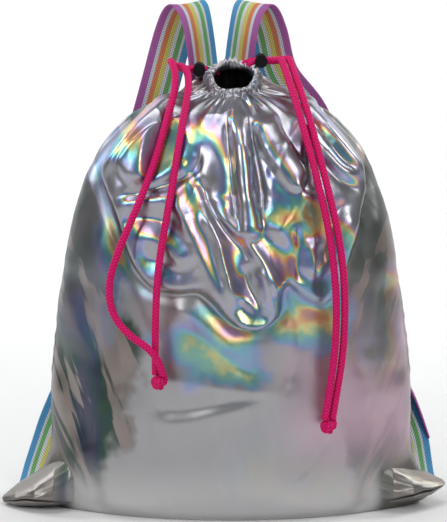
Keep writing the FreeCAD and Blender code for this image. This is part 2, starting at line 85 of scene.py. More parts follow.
def make_mesh(name, points, faces):
    """A smooth mesh object from points in millimetres."""
    data = bpy.data.meshes.new(name)
    data.from_pydata((np.asarray(points, float) * MM).tolist(), [], faces)
    data.shade_smooth()
    item = bpy.data.objects.new(name, data)
    bpy.context.scene.collection.objects.link(item)
    return item


def add_layer(item, name, values):
    """Gives each of a mesh's points a number that its material can read."""
    layer = item.data.attributes.new(name, "FLOAT", "POINT")
    layer.data.foreach_set("value", np.asarray(values).astype(np.float32))


def grid_faces(rows, columns, closed_columns=False):
    """Quads of a grid of points stored row by row."""
    across = columns if closed_columns else columns - 1
    row, column = np.meshgrid(np.arange(rows - 1), np.arange(across), indexing="ij")
    first = row * columns + column
    second = row * columns + (column + 1) % columns
    quads = np.stack([first, second, second + columns, first + columns], axis=-1)
    return quads.reshape(-1, 4).tolist()


def smoothstep(value):
    value = np.clip(value, 0.0, 1.0)
    return value * value * (3.0 - 2.0 * value)


def distance_along(points):
    """How far along a polyline each of its points is."""
    return np.concatenate([[0.0], np.cumsum(np.linalg.norm(np.diff(points, axis=0), axis=1))])


def polyline_distance(x, z, points):
    """Distance of every (x, z) to a polyline, and how far along the polyline, from 0 to 1."""
    run = distance_along(points)
    best = np.full(x.shape, 1e9)
    along = np.zeros(x.shape)
    for start, end, done in zip(points, points[1:], run):
        length = np.linalg.norm(end - start)
        way = (end - start) / length
        reach = np.clip((x - start[0]) * way[0] + (z - start[1]) * way[1], 0.0, length)
        far = np.hypot(x - start[0] - way[0] * reach, z - start[1] - way[1] * reach)
        closer = far < best
        best = np.where(closer, far, best)
        along = np.where(closer, (done + reach) / run[-1], along)
    return best, along


def catmull_rom(a, b, c, d, t):
    """Between b and c, at t from 0 to 1, on a smooth curve through a, b, c and d."""
    bend = (2 * a - 5 * b + 4 * c - d) * t ** 2 + (3 * b - a - 3 * c + d) * t ** 3
    return 0.5 * (2 * b + (c - a) * t + bend)


def rounded(points, steps):
    """A Catmull-Rom curve through points, with this many steps from each point to the next."""
    points = np.asarray(points, float)
    padded = np.vstack([2 * points[0] - points[1], points, 2 * points[-1] - points[-2]])
    result = []
    for number in range(len(points) - 1):
        result += [catmull_rom(*padded[number:number + 4], step / steps) for step in range(steps)]
    result.append(points[-1])
    return np.array(result)


def inside_outline(x, z, outline):
    """Whether every (x, z) is inside a closed outline."""
    inside = np.zeros(x.shape, bool)
    for (ax, az), (bx, bz) in zip(outline, np.roll(outline, -1, axis=0)):
        crosses = (az > z) != (bz > z)
        with np.errstate(divide="ignore", invalid="ignore"):
            where = (bx - ax) * (z - az) / (bz - az) + ax
        inside ^= crosses & (x < where)
    return inside


class Noise:
    """Smooth seeded noise on a plane, from -1 to 1."""

    def __init__(self, seed):
        self.table = np.random.default_rng(seed).uniform(-1.0, 1.0, (256, 256))

    def corner(self, row, column):
        return self.table[row % 256, column % 256]

    def __call__(self, x, y):
        column = np.floor(x).astype(int)
        row = np.floor(y).astype(int)
        fx, fy = (t * t * t * (t * (t * 6 - 15) + 10) for t in (x - column, y - row))
        low = self.corner(row, column) * (1 - fx) + self.corner(row, column + 1) * fx
        high = self.corner(row + 1, column) * (1 - fx) + self.corner(row + 1, column + 1) * fx
        return low * (1 - fy) + high * fy

    def folds(self, x, y, octaves):
        """Ridged noise: sharp crests between soft hollows, mostly from 0 to 1."""
        total = np.zeros(x.shape)
        for octave in range(octaves):
            scale = 2 ** octave
            layer = self(x * scale + 17.3 * octave, y * scale - 9.1 * octave)
            total += (1.0 - np.abs(layer) * 2.0) / scale
        return total / 1.75


# ---------------- bag: base form

# level, half width, half depth, middle in y, lean in degrees, middle in x: the CAD sections, with a
# fuller edge round the base and one more section at the hem
SECTIONS = np.array([
    (0.0, 135.0, 60.0, -1.0, 0.0, 5.0),
    (12.0, 145.0, 67.0, -1.0, 0.0, 5.5),
    (45.0, 146.5, 71.0, -1.0, 0.0, 6.0),
    (110.0, 145.5, 72.0, -1.8, 0.0, 6.0),
    (170.0, 137.5, 72.5, -2.5, 0.0, 6.0),
    (225.0, 127.0, 71.0, -3.0, 0.0, 6.0),
    (270.0, 114.0, 64.0, -3.0, 0.0, 6.0),
    (298.0, 99.0, 54.5, -2.5, 3.0, 6.0),
    (318.0, 78.0, 43.0, -1.5, 10.0, 6.0),
    (331.0, 50.0, 32.0, 1.5, 18.0, 6.5),
    (338.6, 23.5, 23.5, 5.6, 25.0, 7.5),
])
BAG_MIDDLE = 6.0                # the form's middle in x, as in most sections
NECK = np.array([7.5, 2.9, 344.5])
NECK_TILT = math.radians(29.0)
HEM_RADIUS = 18.8
HEM_WIDE = 3.1                  # half thickness of the hem's roll
HEM_TALL = 5.6                  # half height
# distance out, level of the middle on the left and on the right, half height, half depth
EARS = np.array([
    (96.0, 22.0, 22.0, 12.0, 8.0), (112.0, 24.0, 24.0, 23.2, 17.0), (124.0, 22.6, 22.8, 22.2, 26.0),
    (136.0, 19.0, 20.5, 18.6, 30.0), (152.0, 13.2, 17.8, 12.8, 27.0), (168.0, 8.0, 16.8, 7.6, 17.0),
    (178.5, 4.6, 17.6, 2.6, 6.0),
])
EAR_ROWS = 90
EAR_COLUMNS = 180
EAR_Y = -16.0
FRONT_COLUMNS = 380
BACK_COLUMNS = 220
SIDE_ROWS = 250
HEM_ROWS = 34
BASE_ROWS = 26
WALL = 0.7                      # thickness of the foil cloth, whose inner face is painted near black as shade
BASE_SEAM_Y = -8.0
BELOW_HEM = 338.0               # cords lie on the front cloth only under this level
CORD_BED = 3.5                  # depth of the cloth behind the middle of a cord that lies on it


def section_at(position):
    """The section's numbers at a position between 0 and the last section, smoothly."""
    last = len(SECTIONS) - 1
    number = np.clip(np.floor(position).astype(int), 0, last - 1)
    around = [SECTIONS[np.clip(number + step, 0, last)] for step in (-1, 0, 1, 2)]
    return catmull_rom(*around, (position - number)[:, None])


def ring_points(rows, angle):
    """Points of the rows' leaning ellipses, as arrays of rows by columns."""
    level, wide, deep, middle_y, lean, middle_x = (rows[:, [k]] for k in range(6))
    lean = np.radians(lean)
    flat = deep * np.sin(angle)
    x = middle_x + wide * np.cos(angle)
    y = middle_y + flat * np.cos(lean)
    z = level + flat * np.sin(lean)
    return np.stack([x, y, z], axis=-1)



def side_rows():
    """Sections from the base's edge to the hem, evenly spaced up the side."""
    position = np.linspace(0.0, len(SECTIONS) - 1, 2000)
    step = np.diff(section_at(position), axis=0)
    # spacing follows the profile half way between the side's and the front's
    path = np.hypot(step[:, 0], 0.5 * np.abs(step[:, 1]) + 0.5 * np.abs(step[:, 2]))
    run = np.concatenate([[0.0], np.cumsum(path)])
    return section_at(np.interp(np.linspace(0.0, run[-1], SIDE_ROWS), run, position))


def column_angles():
    """Angles round the bag: the front half first, from its left seam to its right seam."""
    front = math.pi + math.pi * np.linspace(0.0, 1.0, FRONT_COLUMNS + 1)
    back = math.pi * np.linspace(0.0, 1.0, BACK_COLUMNS + 1)
    return front, back


def surface_normals(points):
    """Unit normals of a grid of points, pointing out of the bag."""
    around = np.gradient(points, axis=1)
    up = np.gradient(points, axis=0)
    normal = np.cross(around, up)
    return normal / np.maximum(np.linalg.norm(normal, axis=-1, keepdims=True), 1e-9)


# ---------------- bag: folds

# The droop at the front: the slack upper cloth hangs over the full lower part along this outline.
# x, z and how strongly the edge stands out there.
DROOP = [
    (-50, 333, 0.5), (-72, 310, 1.0), (-84, 294, 1.1), (-91, 277, 1.2), (-88, 263, 1.2),
    (-84, 252, 1.0), (-79, 236, 0.9), (-74, 219, 0.9), (-66, 203, 0.9), (-54, 192, 1.0),
    (-36, 189, 0.9), (-20, 190, 0.9), (-8, 183, 1.1), (1, 173, 1.3), (11, 165, 1.5),
    (24, 163, 1.6), (35, 166, 1.5), (42, 174, 1.4), (43, 188, 1.2), (50, 194, 0.7),
    (62, 182, 0.45), (78, 176, 0.4), (90, 190, 0.4), (98, 215, 0.5), (104, 240, 0.8),
    (107, 258, 1.1), (108, 268, 1.2), (102, 285, 1.1), (92, 302, 1.0), (76, 318, 0.8),
    (58, 332, 0.5),
]
DROOP_HEIGHT = 9.0
DROOP_SAG = 5.0

# kind, height, width, points (x, z). A ridge is a crest, a valley a sharp crease, a roll a tube of cloth.
FOLDS = [
    # left side of the droop: a cone of cloth from the neck, then creases under it
    ("ridge", 6.0, 7.0, [(-30, 333), (-48, 318), (-66, 300), (-80, 282), (-88, 268)]),
    ("roll", 6.5, 10.0, [(-26, 308), (-44, 300), (-58, 288), (-66, 278)]),
    ("valley", 5.5, 4.0, [(-86, 259), (-70, 259), (-52, 265), (-30, 275), (-20, 286), (-18, 300)]),
    ("ridge", 3.5, 9.0, [(-84, 250), (-66, 256), (-44, 258), (-26, 262)]),
    ("valley", 2.5, 6.0, [(-80, 240), (-60, 243), (-38, 240)]),
    ("ridge", 3.0, 10.0, [(-74, 228), (-56, 228), (-38, 220), (-24, 206)]),
    ("valley", 2.0, 7.0, [(-66, 214), (-48, 210), (-30, 200)]),
    ("ridge", 4.0, 6.0, [(-38, 262), (-28, 240), (-20, 224), (-12, 205), (-4, 190), (8, 172)]),
    # long tubes of cloth from the neck
    ("roll", 8.0, 8.0, [(10, 322), (12, 300), (14, 280), (16, 262), (19, 248), (21, 236)]),
    ("roll", 7.0, 10.5, [(30, 320), (34, 306), (42, 292), (50, 280), (55, 274)]),
    ("valley", 5.0, 3.0, [(2, 318), (5, 300), (8, 280), (9, 258), (10, 240)]),
    ("valley", 5.0, 3.2, [(21, 318), (24, 296), (28, 276), (30, 258), (29, 240)]),
    ("valley", 4.5, 3.0, [(62, 300), (66, 286), (64, 272), (56, 264)]),
    # the tongue in the middle
    ("ridge", 6.0, 5.0, [(-18, 258), (-12, 244), (-4, 228), (0, 212), (5, 194), (11, 172)]),
    ("valley", 4.5, 4.0, [(-20, 282), (-14, 262), (-8, 248), (4, 232), (14, 222), (22, 210)]),
    ("ridge", 5.0, 5.5, [(-10, 256), (4, 240), (18, 226), (30, 210), (40, 192), (42, 180)]),
    ("valley", 3.5, 3.0, [(16, 210), (18, 196), (24, 182), (30, 172)]),
    ("ridge", 4.0, 4.0, [(22, 206), (30, 200), (34, 186), (38, 176)]),
    ("valley", 3.0, 3.0, [(10, 186), (14, 176), (26, 171), (38, 173)]),
    ("ridge", 3.0, 3.0, [(9, 178), (14, 168), (26, 166), (37, 170)]),
    # right side of the droop
    ("ridge", 5.5, 7.0, [(56, 330), (72, 312), (86, 294), (98, 280), (104, 268)]),
    ("ridge", 4.5, 6.0, [(48, 322), (62, 304), (76, 288), (90, 274), (102, 262)]),
    ("valley", 5.0, 4.0, [(60, 320), (76, 300), (88, 284), (100, 274)]),
    ("valley", 4.0, 4.0, [(70, 292), (78, 280), (90, 268), (104, 262)]),
    ("ridge", 5.0, 12.0, [(66, 270), (56, 252), (46, 238), (36, 226)]),
    ("valley", 3.0, 5.0, [(92, 258), (84, 240), (78, 222), (74, 204)]),
    ("ridge", 3.5, 8.0, [(100, 250), (94, 232), (90, 214), (84, 196)]),
    ("valley", 2.5, 5.0, [(52, 240), (58, 224), (56, 208), (60, 192)]),
    ("ridge", 2.5, 7.0, [(66, 228), (70, 212), (66, 196)]),
    # lower belly: long soft folds and the hollow under the droop
    ("ridge", 3.0, 9.0, [(-44, 176), (-24, 168), (-6, 152), (16, 134)]),
    ("valley", 2.2, 7.0, [(-40, 160), (-16, 150), (10, 128), (30, 118)]),
    ("ridge", 2.0, 8.0, [(-60, 82), (-34, 82), (-4, 90), (36, 102)]),
    ("valley", 1.6, 6.0, [(-62, 92), (-30, 92), (6, 100), (44, 104)]),
    ("ridge", 2.0, 9.0, [(-50, 118), (-16, 112), (20, 108), (48, 104)]),
    ("valley", 2.0, 8.0, [(48, 180), (60, 150), (54, 122), (46, 104)]),
    ("ridge", 2.0, 10.0, [(86, 160), (92, 130), (86, 98), (70, 70)]),
    ("valley", 1.8, 7.0, [(96, 100), (86, 74), (70, 50), (50, 30)]),
    # left side panel: long folds from the shoulder down to the corner
    ("ridge", 4.0, 8.0, [(-86, 246), (-98, 210), (-102, 174), (-94, 140), (-84, 104)]),
    ("valley", 4.5, 6.0, [(-76, 212), (-84, 180), (-84, 150), (-80, 120), (-80, 88)]),
    ("ridge", 3.5, 7.0, [(-122, 196), (-116, 160), (-104, 130), (-96, 100), (-90, 72), (-82, 56)]),
    ("valley", 3.5, 6.0, [(-112, 204), (-108, 170), (-98, 140), (-92, 112)]),
    ("valley", 3.5, 8.0, [(-134, 150), (-126, 110), (-118, 80), (-106, 54)]),
    ("ridge", 3.5, 6.0, [(-138, 116), (-130, 84), (-120, 52), (-115, 30), (-114, 14)]),
    ("valley", 3.0, 6.0, [(-128, 84), (-118, 54), (-108, 36), (-98, 18)]),
    ("ridge", 2.5, 7.0, [(-110, 58), (-100, 44), (-84, 30)]),
    # right side panel
    ("ridge", 4.0, 8.0, [(110, 260), (118, 226), (118, 190), (112, 150), (116, 116)]),
    ("valley", 4.0, 7.0, [(106, 236), (110, 200), (106, 168), (104, 140), (108, 110)]),
    ("ridge", 3.0, 7.0, [(132, 188), (128, 150), (124, 112), (122, 76)]),
    ("valley", 3.0, 7.0, [(124, 196), (120, 160), (116, 126)]),
    ("ridge", 3.0, 7.0, [(146, 118), (140, 84), (138, 56), (140, 36)]),
    ("valley", 3.0, 6.0, [(136, 96), (128, 66), (126, 40), (130, 22)]),
]
SIDE_FOLDS_OUT = 72             # folds that stay further out than this and start lower than
SIDE_FOLDS_BELOW = 261          # this belong to the sides
PLEATS = 64
PLEAT_LENGTHS = [16.0, 24.0, 36.0, 52.0, 74.0]
PLEAT_SHARES = [0.3, 0.27, 0.2, 0.13, 0.1]


def neck_pleats(angle, drop):
    """Gathers that run down from the hem, by angle round the neck and distance below the hem."""
    random = np.random.default_rng(11)
    total = np.zeros(np.broadcast(angle, drop).shape)
    for number in range(PLEATS):
        place = 2 * math.pi * (number + random.uniform(-0.33, 0.33)) / PLEATS
        length = random.choice(PLEAT_LENGTHS, p=PLEAT_SHARES)
        tall = random.uniform(1.2, 2.2) + 0.02 * length
        wander = random.uniform(-0.10, 0.10) * np.minimum(drop / 60.0, 1.5)
        off = (angle - place - wander + math.pi) % (2 * math.pi) - math.pi
        reach = HEM_RADIUS + 0.75 * drop
        wide = 1.15 + 0.055 * drop
        total += tall * smoothstep(1.0 - drop / length) * np.exp(-(off * reach / wide) ** 2)
    return total


def front_relief(x, z):
    """Height of the front's folds over the base form, how far the cloth sags, and the droop's mask."""
    outline = rounded(DROOP + DROOP[:1], 6)
    far, along = polyline_distance(x, z, outline[:, :2])
    inside = inside_outline(x, z, outline[:-1, :2])
    run = distance_along(outline[:, :2])
    weight = np.interp(along, run / run[-1], outline[:, 2])
    signed = np.where(inside, far, -far)
    lip = smoothstep((signed + 2.5) / 6.0)
    height = DROOP_HEIGHT * weight * lip * (0.25 + 0.75 * np.exp(-np.clip(signed, 0, None) / 34.0))
    height -= 3.0 * weight * np.exp(-((signed + 5.0) / 7.0) ** 2)
    sag = -DROOP_SAG * np.clip(weight - 0.3, 0, 2) * np.exp(-((signed - 3.0) / 6.0) ** 2)
    for kind, tall, wide, points in FOLDS:
        far, along = polyline_distance(x, z, rounded(points, 6))
        taper = smoothstep(along / 0.22) * smoothstep((1.0 - along) / 0.22)
        out = min(abs(px - BAG_MIDDLE) for px, _ in points)
        if out > SIDE_FOLDS_OUT and points[0][1] < SIDE_FOLDS_BELOW:
            # the sides' long folds are lower and broader
            tall, wide = 0.62 * tall, 1.7 * wide
        if kind == "ridge":
            height += 1.25 * tall * taper * np.exp(-(far / wide) ** 1.5)
        elif kind == "valley":
            height -= 1.25 * tall * taper * np.exp(-(far / wide) ** 1.1)
        else:
            rise = np.sqrt(np.clip(1.0 - (far / wide) ** 2, 0.0, 1.0))
            height += tall * smoothstep(along / 0.25) * rise
    return height, sag, smoothstep((signed + 3.0) / 9.0)


def build_bag():
    """The bag's outer skin as two grids, front and back, with the same seam points."""
    fine = Noise(3)
    broad = Noise(8)
    rows = side_rows()
    result = []
    for half, angles in zip(("front", "back"), column_angles()):
        base = ring_points(rows, angles[None, :])
        normal = surface_normals(base)
        x, y, z = (base[..., k] for k in range(3))
        drop = np.linalg.norm(base - base[-1:], axis=-1)
        shoulder = smoothstep((z - 215.0) / 60.0)
        # the neck's gathers
        neck_angle = np.arctan2(y - NECK[1], x - NECK[0])
        height = neck_pleats(neck_angle, drop) + 1.4 * gathers(neck_angle) * np.exp(-drop / 13.0)
        sag = np.zeros(x.shape)
        mask = np.zeros(x.shape)
        from_seam = np.minimum(angles - angles[0], angles[-1] - angles)
        seam_fade = smoothstep(from_seam / 0.10)[None, :]
        if half == "front":
            relief, sag, mask = front_relief(x, z)
            near_neck = smoothstep(drop / 26.0)
            height = height + relief * seam_fade * (0.25 + 0.75 * near_neck)
            sag = sag * seam_fade * near_neck
        else:
            long_folds = broad.folds(x / 34.0, z / 120.0, 2) - 0.55
            cross = broad.folds(x / 70.0 + 4.0, z / 46.0, 2) - 0.55
            height = height + seam_fade * (5.0 * long_folds + 2.5 * cross) * smoothstep(drop / 50.0)
        # loose cloth everywhere: soft waves, then fine crinkles
        waves = broad(x / 40.0 + 3.0, z / 70.0) * 2.0 + broad(x / 19.0, z / 44.0 + 5.0) * 1.1
        crinkles = fine.folds((x + 0.35 * z) / 21.0, (z - 0.2 * x) / 34.0, 3) - 0.6
        rate = 0.35 + 0.65 * np.maximum(mask, shoulder)
        loose = waves * (0.8 - 0.5 * mask) + crinkles * 0.7 * rate
        height = height + seam_fade * loose * smoothstep(drop / 30.0)
        height = height * smoothstep(z / 14.0)
        # side seams pucker the cloth next to them
        off_seam = 1.0 - np.abs(np.cos(angles[None, :]))
        pucker = np.exp(-(off_seam / 0.02)) * fine(z / 5.5, np.full(x.shape, 2.0))
        height = height + 0.35 * pucker * smoothstep(z / 30.0) * smoothstep(drop / 30.0)
        points = base + normal * height[..., None]
        points[..., 2] += sag
        points = flare(points, base)
        if half == "front":
            points = make_room(points)
        result.append((points, mask))
    return result


def cord_line(points, steps=8):
    """The smooth line that a quadratic spline draws along its control points."""
    points = np.array(points, float)
    t = np.linspace(0.0, 1.0, steps, endpoint=False)[:, None]
    pieces = []
    for before, middle, after in zip(points, points[1:], points[2:]):
        pieces.append(0.5 * (1 - t) ** 2 * before + (0.5 + t - t * t) * middle + 0.5 * t * t * after)
    return np.concatenate(pieces)


def make_room(points):
    """Presses the front cloth back wherever a hanging cord lies on it."""
    x, y, z = (points[..., k] for k in range(3))
    for route in ROUTES.values():
        # the cloth is flat right behind the cord and slopes forward on both sides of it
        line = cord_line(route)
        line = line[line[:, 2] < BELOW_HEM]
        beside = line[:, [0, 2]]
        far, along = polyline_distance(x, z, beside)
        run = distance_along(beside)
        level = np.interp(along * run[-1], run, line[:, 1])
        behind = level + CORD_BED - 0.62 * np.maximum(0.0, far - 2.6)
        push = np.where(far < 20.0, np.maximum(0.0, behind - y), 0.0)
        y += push * (y < 0.0)
    return points


def flare(points, base):
    """Draws the cloth out into the two bottom corners."""
    level = np.clip(base[..., 2], 0.0, 60.0)
    reach = np.interp(
        level, [0, 6, 12, 18, 24, 31, 39, 48, 60], [20, 23, 21, 17, 12, 7, 3.2, 1.0, 0],
    )
    spread = np.interp(level, [0, 8, 20, 38, 60], [0.24, 0.22, 0.22, 0.24, 0.28])
    x = base[..., 0] - BAG_MIDDLE
    turn = np.arctan2(base[..., 1] - EAR_Y, np.abs(x))
    for sign in (-1, 1):
        around = turn + np.where(np.sign(x) == sign, 0.0, 99.0)
        amount = reach * np.exp(-np.abs(around / spread) ** 1.6)
        points[..., 0] += sign * amount
        points[..., 1] += smoothstep(amount / 30.0) * (EAR_Y - points[..., 1]) * 0.4
        crease = np.exp(-((around + 0.30) / 0.05) ** 2)
        crease = crease * smoothstep((46.0 - level) / 30.0) * smoothstep(level / 8.0)
        points[..., 1] += 4.0 * crease
    return points


def make_ears():
    """The two bottom corners: flattened, closed pillows of cloth that end in a tip."""
    ears = []
    for side, sign, column in (("left", -1, 1), ("right", 1, 2)):
        wrinkles = Noise(31 + column)
        share = np.linspace(0.0, 1.0, EAR_ROWS) ** 0.8
        out = EARS[0, 0] + (EARS[-1, 0] - EARS[0, 0]) * share
        rise, tall, deep = (np.interp(out, EARS[:, 0], EARS[:, k]) for k in (column, 3, 4))
        turn = np.linspace(0.0, 2 * math.pi, EAR_COLUMNS, endpoint=False)
        around, run = np.meshgrid(turn, share)
        # a crease along the seam at the front, and folds that run towards the tip
        fall = np.clip((160.0 - out) / 40.0, 0.0, 1.0)[:, None]
        seam = (around + 0.05 + 0.9 * fall + math.pi) % (2 * math.pi) - math.pi
        size = 1.0 - 0.16 * np.exp(-(seam / 0.07) ** 2) + 0.05 * np.exp(-((seam - 0.24) / 0.16) ** 2)
        size += 0.030 * wrinkles(around * 1.7, run * 3.2) + 0.012 * wrinkles(around * 5.0, run * 7.0 + 3.0)
        x = sign * (out[:, None] + 0.8 * wrinkles(around, run * 5.0))
        y = EAR_Y - deep[:, None] * np.cos(around) * size
        z = np.maximum(rise[:, None] + tall[:, None] * np.sin(around) * size, 0.35)
        points = np.stack([x, y, z], axis=-1)
        tip = points[-1].mean(axis=0) + np.array([sign * 2.0, 0.0, 0.0])
        root = points[0].mean(axis=0)
        flat = np.concatenate([points.reshape(-1, 3), [tip, root]])
        faces = grid_faces(EAR_ROWS, EAR_COLUMNS, closed_columns=True)
        last = (EAR_ROWS - 1) * EAR_COLUMNS
        for number in range(EAR_COLUMNS):
            after = (number + 1) % EAR_COLUMNS
            faces.append((last + number, last + after, len(flat) - 2))
            faces.append((after, number, len(flat) - 1))
        item = make_mesh(f"{side}_bottom_corner", flat, faces)
        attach(item, "bag")
        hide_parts(f"corner_{side}")
        ears.append(item)
    return ears


def gathers(around):
    """The hem's small pleats by angle round the neck, from -1 to 1."""
    phase = 27 * around + 0.9 * np.sin(3 * around + 1.0) + 0.7 * np.sin(7 * around)
    second = 17 * around + 1.3 * np.sin(5 * around + 2.0)
    return 0.62 * np.sin(phase) + 0.38 * np.sin(second)


def hem_rows(top_ring):
    """The gathered hem: up the outside, over the top and down the inside."""
    neck_turn = np.array(Matrix.Rotation(NECK_TILT, 3, "X"))
    local = (top_ring - NECK) @ neck_turn
    around = np.arctan2(local[:, 1], local[:, 0])
    pleat = gathers(around)
    front = np.clip(-np.sin(around), 0.0, 1.0)
    start_radius = np.hypot(local[:, 0], local[:, 1])
    rows = []
    for number in range(1, HEM_ROWS + 1):
        t = number / HEM_ROWS
        turn = -0.12 * math.pi + t * 1.20 * math.pi
        over = max(0.0, math.sin(turn))
        radius = HEM_RADIUS + HEM_WIDE * math.cos(turn)
        radius = radius + 1.9 * pleat * math.cos(turn * 0.5) + 0.9 * np.sin(5 * around + 0.6) * over
        lift = 1.1 * pleat + 1.3 * np.sin(4 * around + 0.7) - 3.6 * front ** 1.5
        lift = HEM_TALL * math.sin(turn) + lift * over
        rise = smoothstep(t / 0.16)
        r = start_radius * (1 - rise) + radius * rise
        h = local[:, 2] * (1 - rise) + lift * rise
        point = np.stack([r * np.cos(around), r * np.sin(around), h], axis=-1)
        rows.append(point @ neck_turn.T + NECK)
    return np.array(rows)


def base_rows(first_ring):
    """The flattened base, from its middle seam out to the edge."""
    rows = []
    rippling = Noise(21)
    for number in range(BASE_ROWS):
        t = number / BASE_ROWS
        point = first_ring.copy()
        point[:, 1] = BASE_SEAM_Y + (first_ring[:, 1] - BASE_SEAM_Y) * t
        point[:, 0] = first_ring[:, 0] * (0.985 + 0.015 * t)
        ripple = np.abs(rippling(point[:, 0] / 14.0, point[:, 1] / 14.0))
        point[:, 2] = 0.25 + 0.8 * ripple * math.sin(math.pi * t) + first_ring[:, 2] * t
        rows.append(point)
    return np.array(rows)


def relax(points, rounds):
    """Evens out a grid without moving its border."""
    for _ in range(rounds):
        middle = points[1:-1, 1:-1]
        around = (points[:-2, 1:-1] + points[2:, 1:-1] + points[1:-1, :-2] + points[1:-1, 2:]) / 4
        points[1:-1, 1:-1] = middle * 0.5 + around * 0.5
    return points


def make_panels():
    """The front and the back panel, each with its half of the base and of the hem."""
    panels = []
    for half, rounds, (points, mask) in zip(("front", "back"), (7, 3), build_bag()):
        points = relax(points, rounds)
        base = base_rows(points[0])
        hem = hem_rows(points[-1])
        whole = np.concatenate([base, points, hem])
        faces = grid_faces(*whole.shape[:2])
        item = make_mesh(f"{half}_foil_panel", whole.reshape(-1, 3), faces)
        base_mask = np.zeros(base.shape[:2])
        hem_mask = np.full(hem.shape[:2], 0.45)
        add_layer(item, "droop", np.concatenate([base_mask, mask, hem_mask]).reshape(-1))
        wall = item.modifiers.new("wall", "SOLIDIFY")
        wall.thickness = WALL * MM
        wall.offset = -1.0
        wall.material_offset = 1
        wall.material_offset_rim = 0
        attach(item, "bag")
        panels.append(item)
    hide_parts("front_panel", "hem_front")
    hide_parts("back_panel", "hem_back")
    return panels


# ---------------- drawcords

# The strands' routes from the hem to the knot, the same points as the CAD tubes.
ROUTES = {
    "drawcord_right_front_strand": [
        (20.2, 12.5, 353.2), (22.8, 12.7, 358.0), (41.5, 12.7, 358.0), (46.3, 6.5, 359.5),
        (47.0, -4.0, 357.5), (50.0, -17.5, 348.5), (55.0, -34.0, 334.0), (60.5, -50.0, 315.5),
        (67.0, -62.0, 292.5), (73.0, -72.5, 268.0), (79.5, -80.0, 241.0), (84.0, -83.8, 212.0),
        (86.6, -84.0, 182.0), (86.4, -83.3, 152.0), (83.6, -82.4, 121.0), (78.6, -81.0, 88.0),
    ],
    "drawcord_right_back_strand": [
        (15.0, 17.2, 354.6), (21.5, 18.3, 358.0), (42.5, 18.3, 358.0), (50.0, 14.5, 359.5),
        (52.8, 4.0, 359.5), (54.5, -9.0, 353.5), (58.5, -24.0, 342.5), (64.0, -40.0, 326.5),
        (70.0, -54.0, 305.0), (76.0, -65.0, 282.0), (82.5, -74.0, 256.5), (88.5, -79.5, 229.5),
        (92.5, -81.8, 199.0), (93.4, -81.3, 168.0), (91.8, -80.3, 136.0), (88.0, -79.4, 111.0),
        (84.6, -78.5, 88.0),
    ],
    "drawcord_left_front_strand": [
        (-8.4, 12.6, 346.0), (-12.2, 13.15, 351.0), (-30.5, 13.15, 351.0), (-35.5, 7.5, 353.5),
        (-34.0, -1.5, 355.5), (-28.8, -9.0, 352.5), (-27.0, -19.0, 343.5), (-28.8, -33.0, 330.0),
        (-32.2, -47.5, 312.5), (-35.6, -60.0, 292.0), (-39.2, -71.0, 268.5), (-44.0, -80.0, 242.5),
        (-48.8, -84.0, 215.5), (-51.5, -84.6, 187.0), (-52.4, -84.0, 159.0), (-52.6, -83.2, 138.0),
        (-52.5, -82.4, 124.0),
    ],
    "drawcord_left_back_strand": [
        (-2.8, 17.4, 348.2), (-9.0, 18.75, 351.0), (-31.5, 18.75, 351.0), (-39.5, 15.5, 354.0),
        (-42.5, 6.5, 358.5), (-40.5, -3.5, 358.0), (-37.5, -13.5, 349.5), (-38.5, -25.0, 335.0),
        (-43.5, -38.5, 318.5), (-49.5, -52.5, 297.5), (-57.5, -65.0, 273.5), (-68.5, -75.5, 247.5),
        (-80.0, -79.8, 221.5), (-88.5, -80.0, 195.0), (-86.0, -81.0, 171.0), (-72.5, -86.0, 155.5),
        (-58.5, -90.6, 147.5), (-49.5, -90.2, 137.0), (-46.6, -85.0, 124.0),
    ],
}
CORD = 5.3
CROWNS = 0.5                    # added to the diameter to make up for the gaps in the braid
KNOT_CORD = 4.9                 # the cord is drawn thinner in its knot
TAIL_CORD = 4.6
BRAID_PITCH = 11.2              # one turn of a braid's strand along the cord
BRAID_STRANDS = 4               # strands that turn each way
AROUND = 40


def nurbs_line(name, points):
    """Points read from the NURBS curve whose control points are a route's."""
    curve = bpy.data.curves.new(name + "_line", "CURVE")
    curve.dimensions = "3D"
    curve.resolution_u = 24
    spline = curve.splines.new("NURBS")
    spline.points.add(len(points) - 1)
    for target, point in zip(spline.points, points):
        target.co = (*point, 1.0)
    spline.order_u = 3
    spline.use_endpoint_u = True
    carrier = bpy.data.objects.new(name + "_line", curve)
    bpy.context.scene.collection.objects.link(carrier)
    data = bpy.data.meshes.new_from_object(carrier)
    line = np.array([vertex.co for vertex in data.vertices])
    bpy.data.objects.remove(carrier)
    bpy.data.curves.remove(curve)
    bpy.data.meshes.remove(data)
    return line


def spaced(line, step):
    """The same line with evenly spaced points, and how far along it each of them is."""
    run = distance_along(line)
    where = np.linspace(0.0, run[-1], max(int(run[-1] / step), 4) + 1)
    return np.stack([np.interp(where, run, line[:, k]) for k in range(3)], axis=-1), where


def frames_along(line):
    """Two unit directions across a line at each point, without twist."""
    way = np.gradient(line, axis=0)
    way /= np.linalg.norm(way, axis=1, keepdims=True)
    side = np.cross(way[0], (0.31, 0.22, 0.93))
    side /= np.linalg.norm(side)
    sides = []
    for direction in way:
        side = side - direction * side.dot(direction)
        side /= np.linalg.norm(side)
        sides.append(side.copy())
    sides = np.array(sides)
    return sides, np.cross(way, sides)


def braid_relief(angle, run):
    """Over-and-under relief of a round braid, from 0 in the gaps to 1 on the strands' crowns."""
    turn = 2 * math.pi * run / BRAID_PITCH
    one = BRAID_STRANDS * (angle + turn) / 2
    two = BRAID_STRANDS * (angle - turn) / 2
    over = np.cos(one + two) * 0.5 + 0.5
    return np.abs(np.cos(one)) ** 0.9 * over + np.abs(np.cos(two)) ** 0.9 * (1 - over)


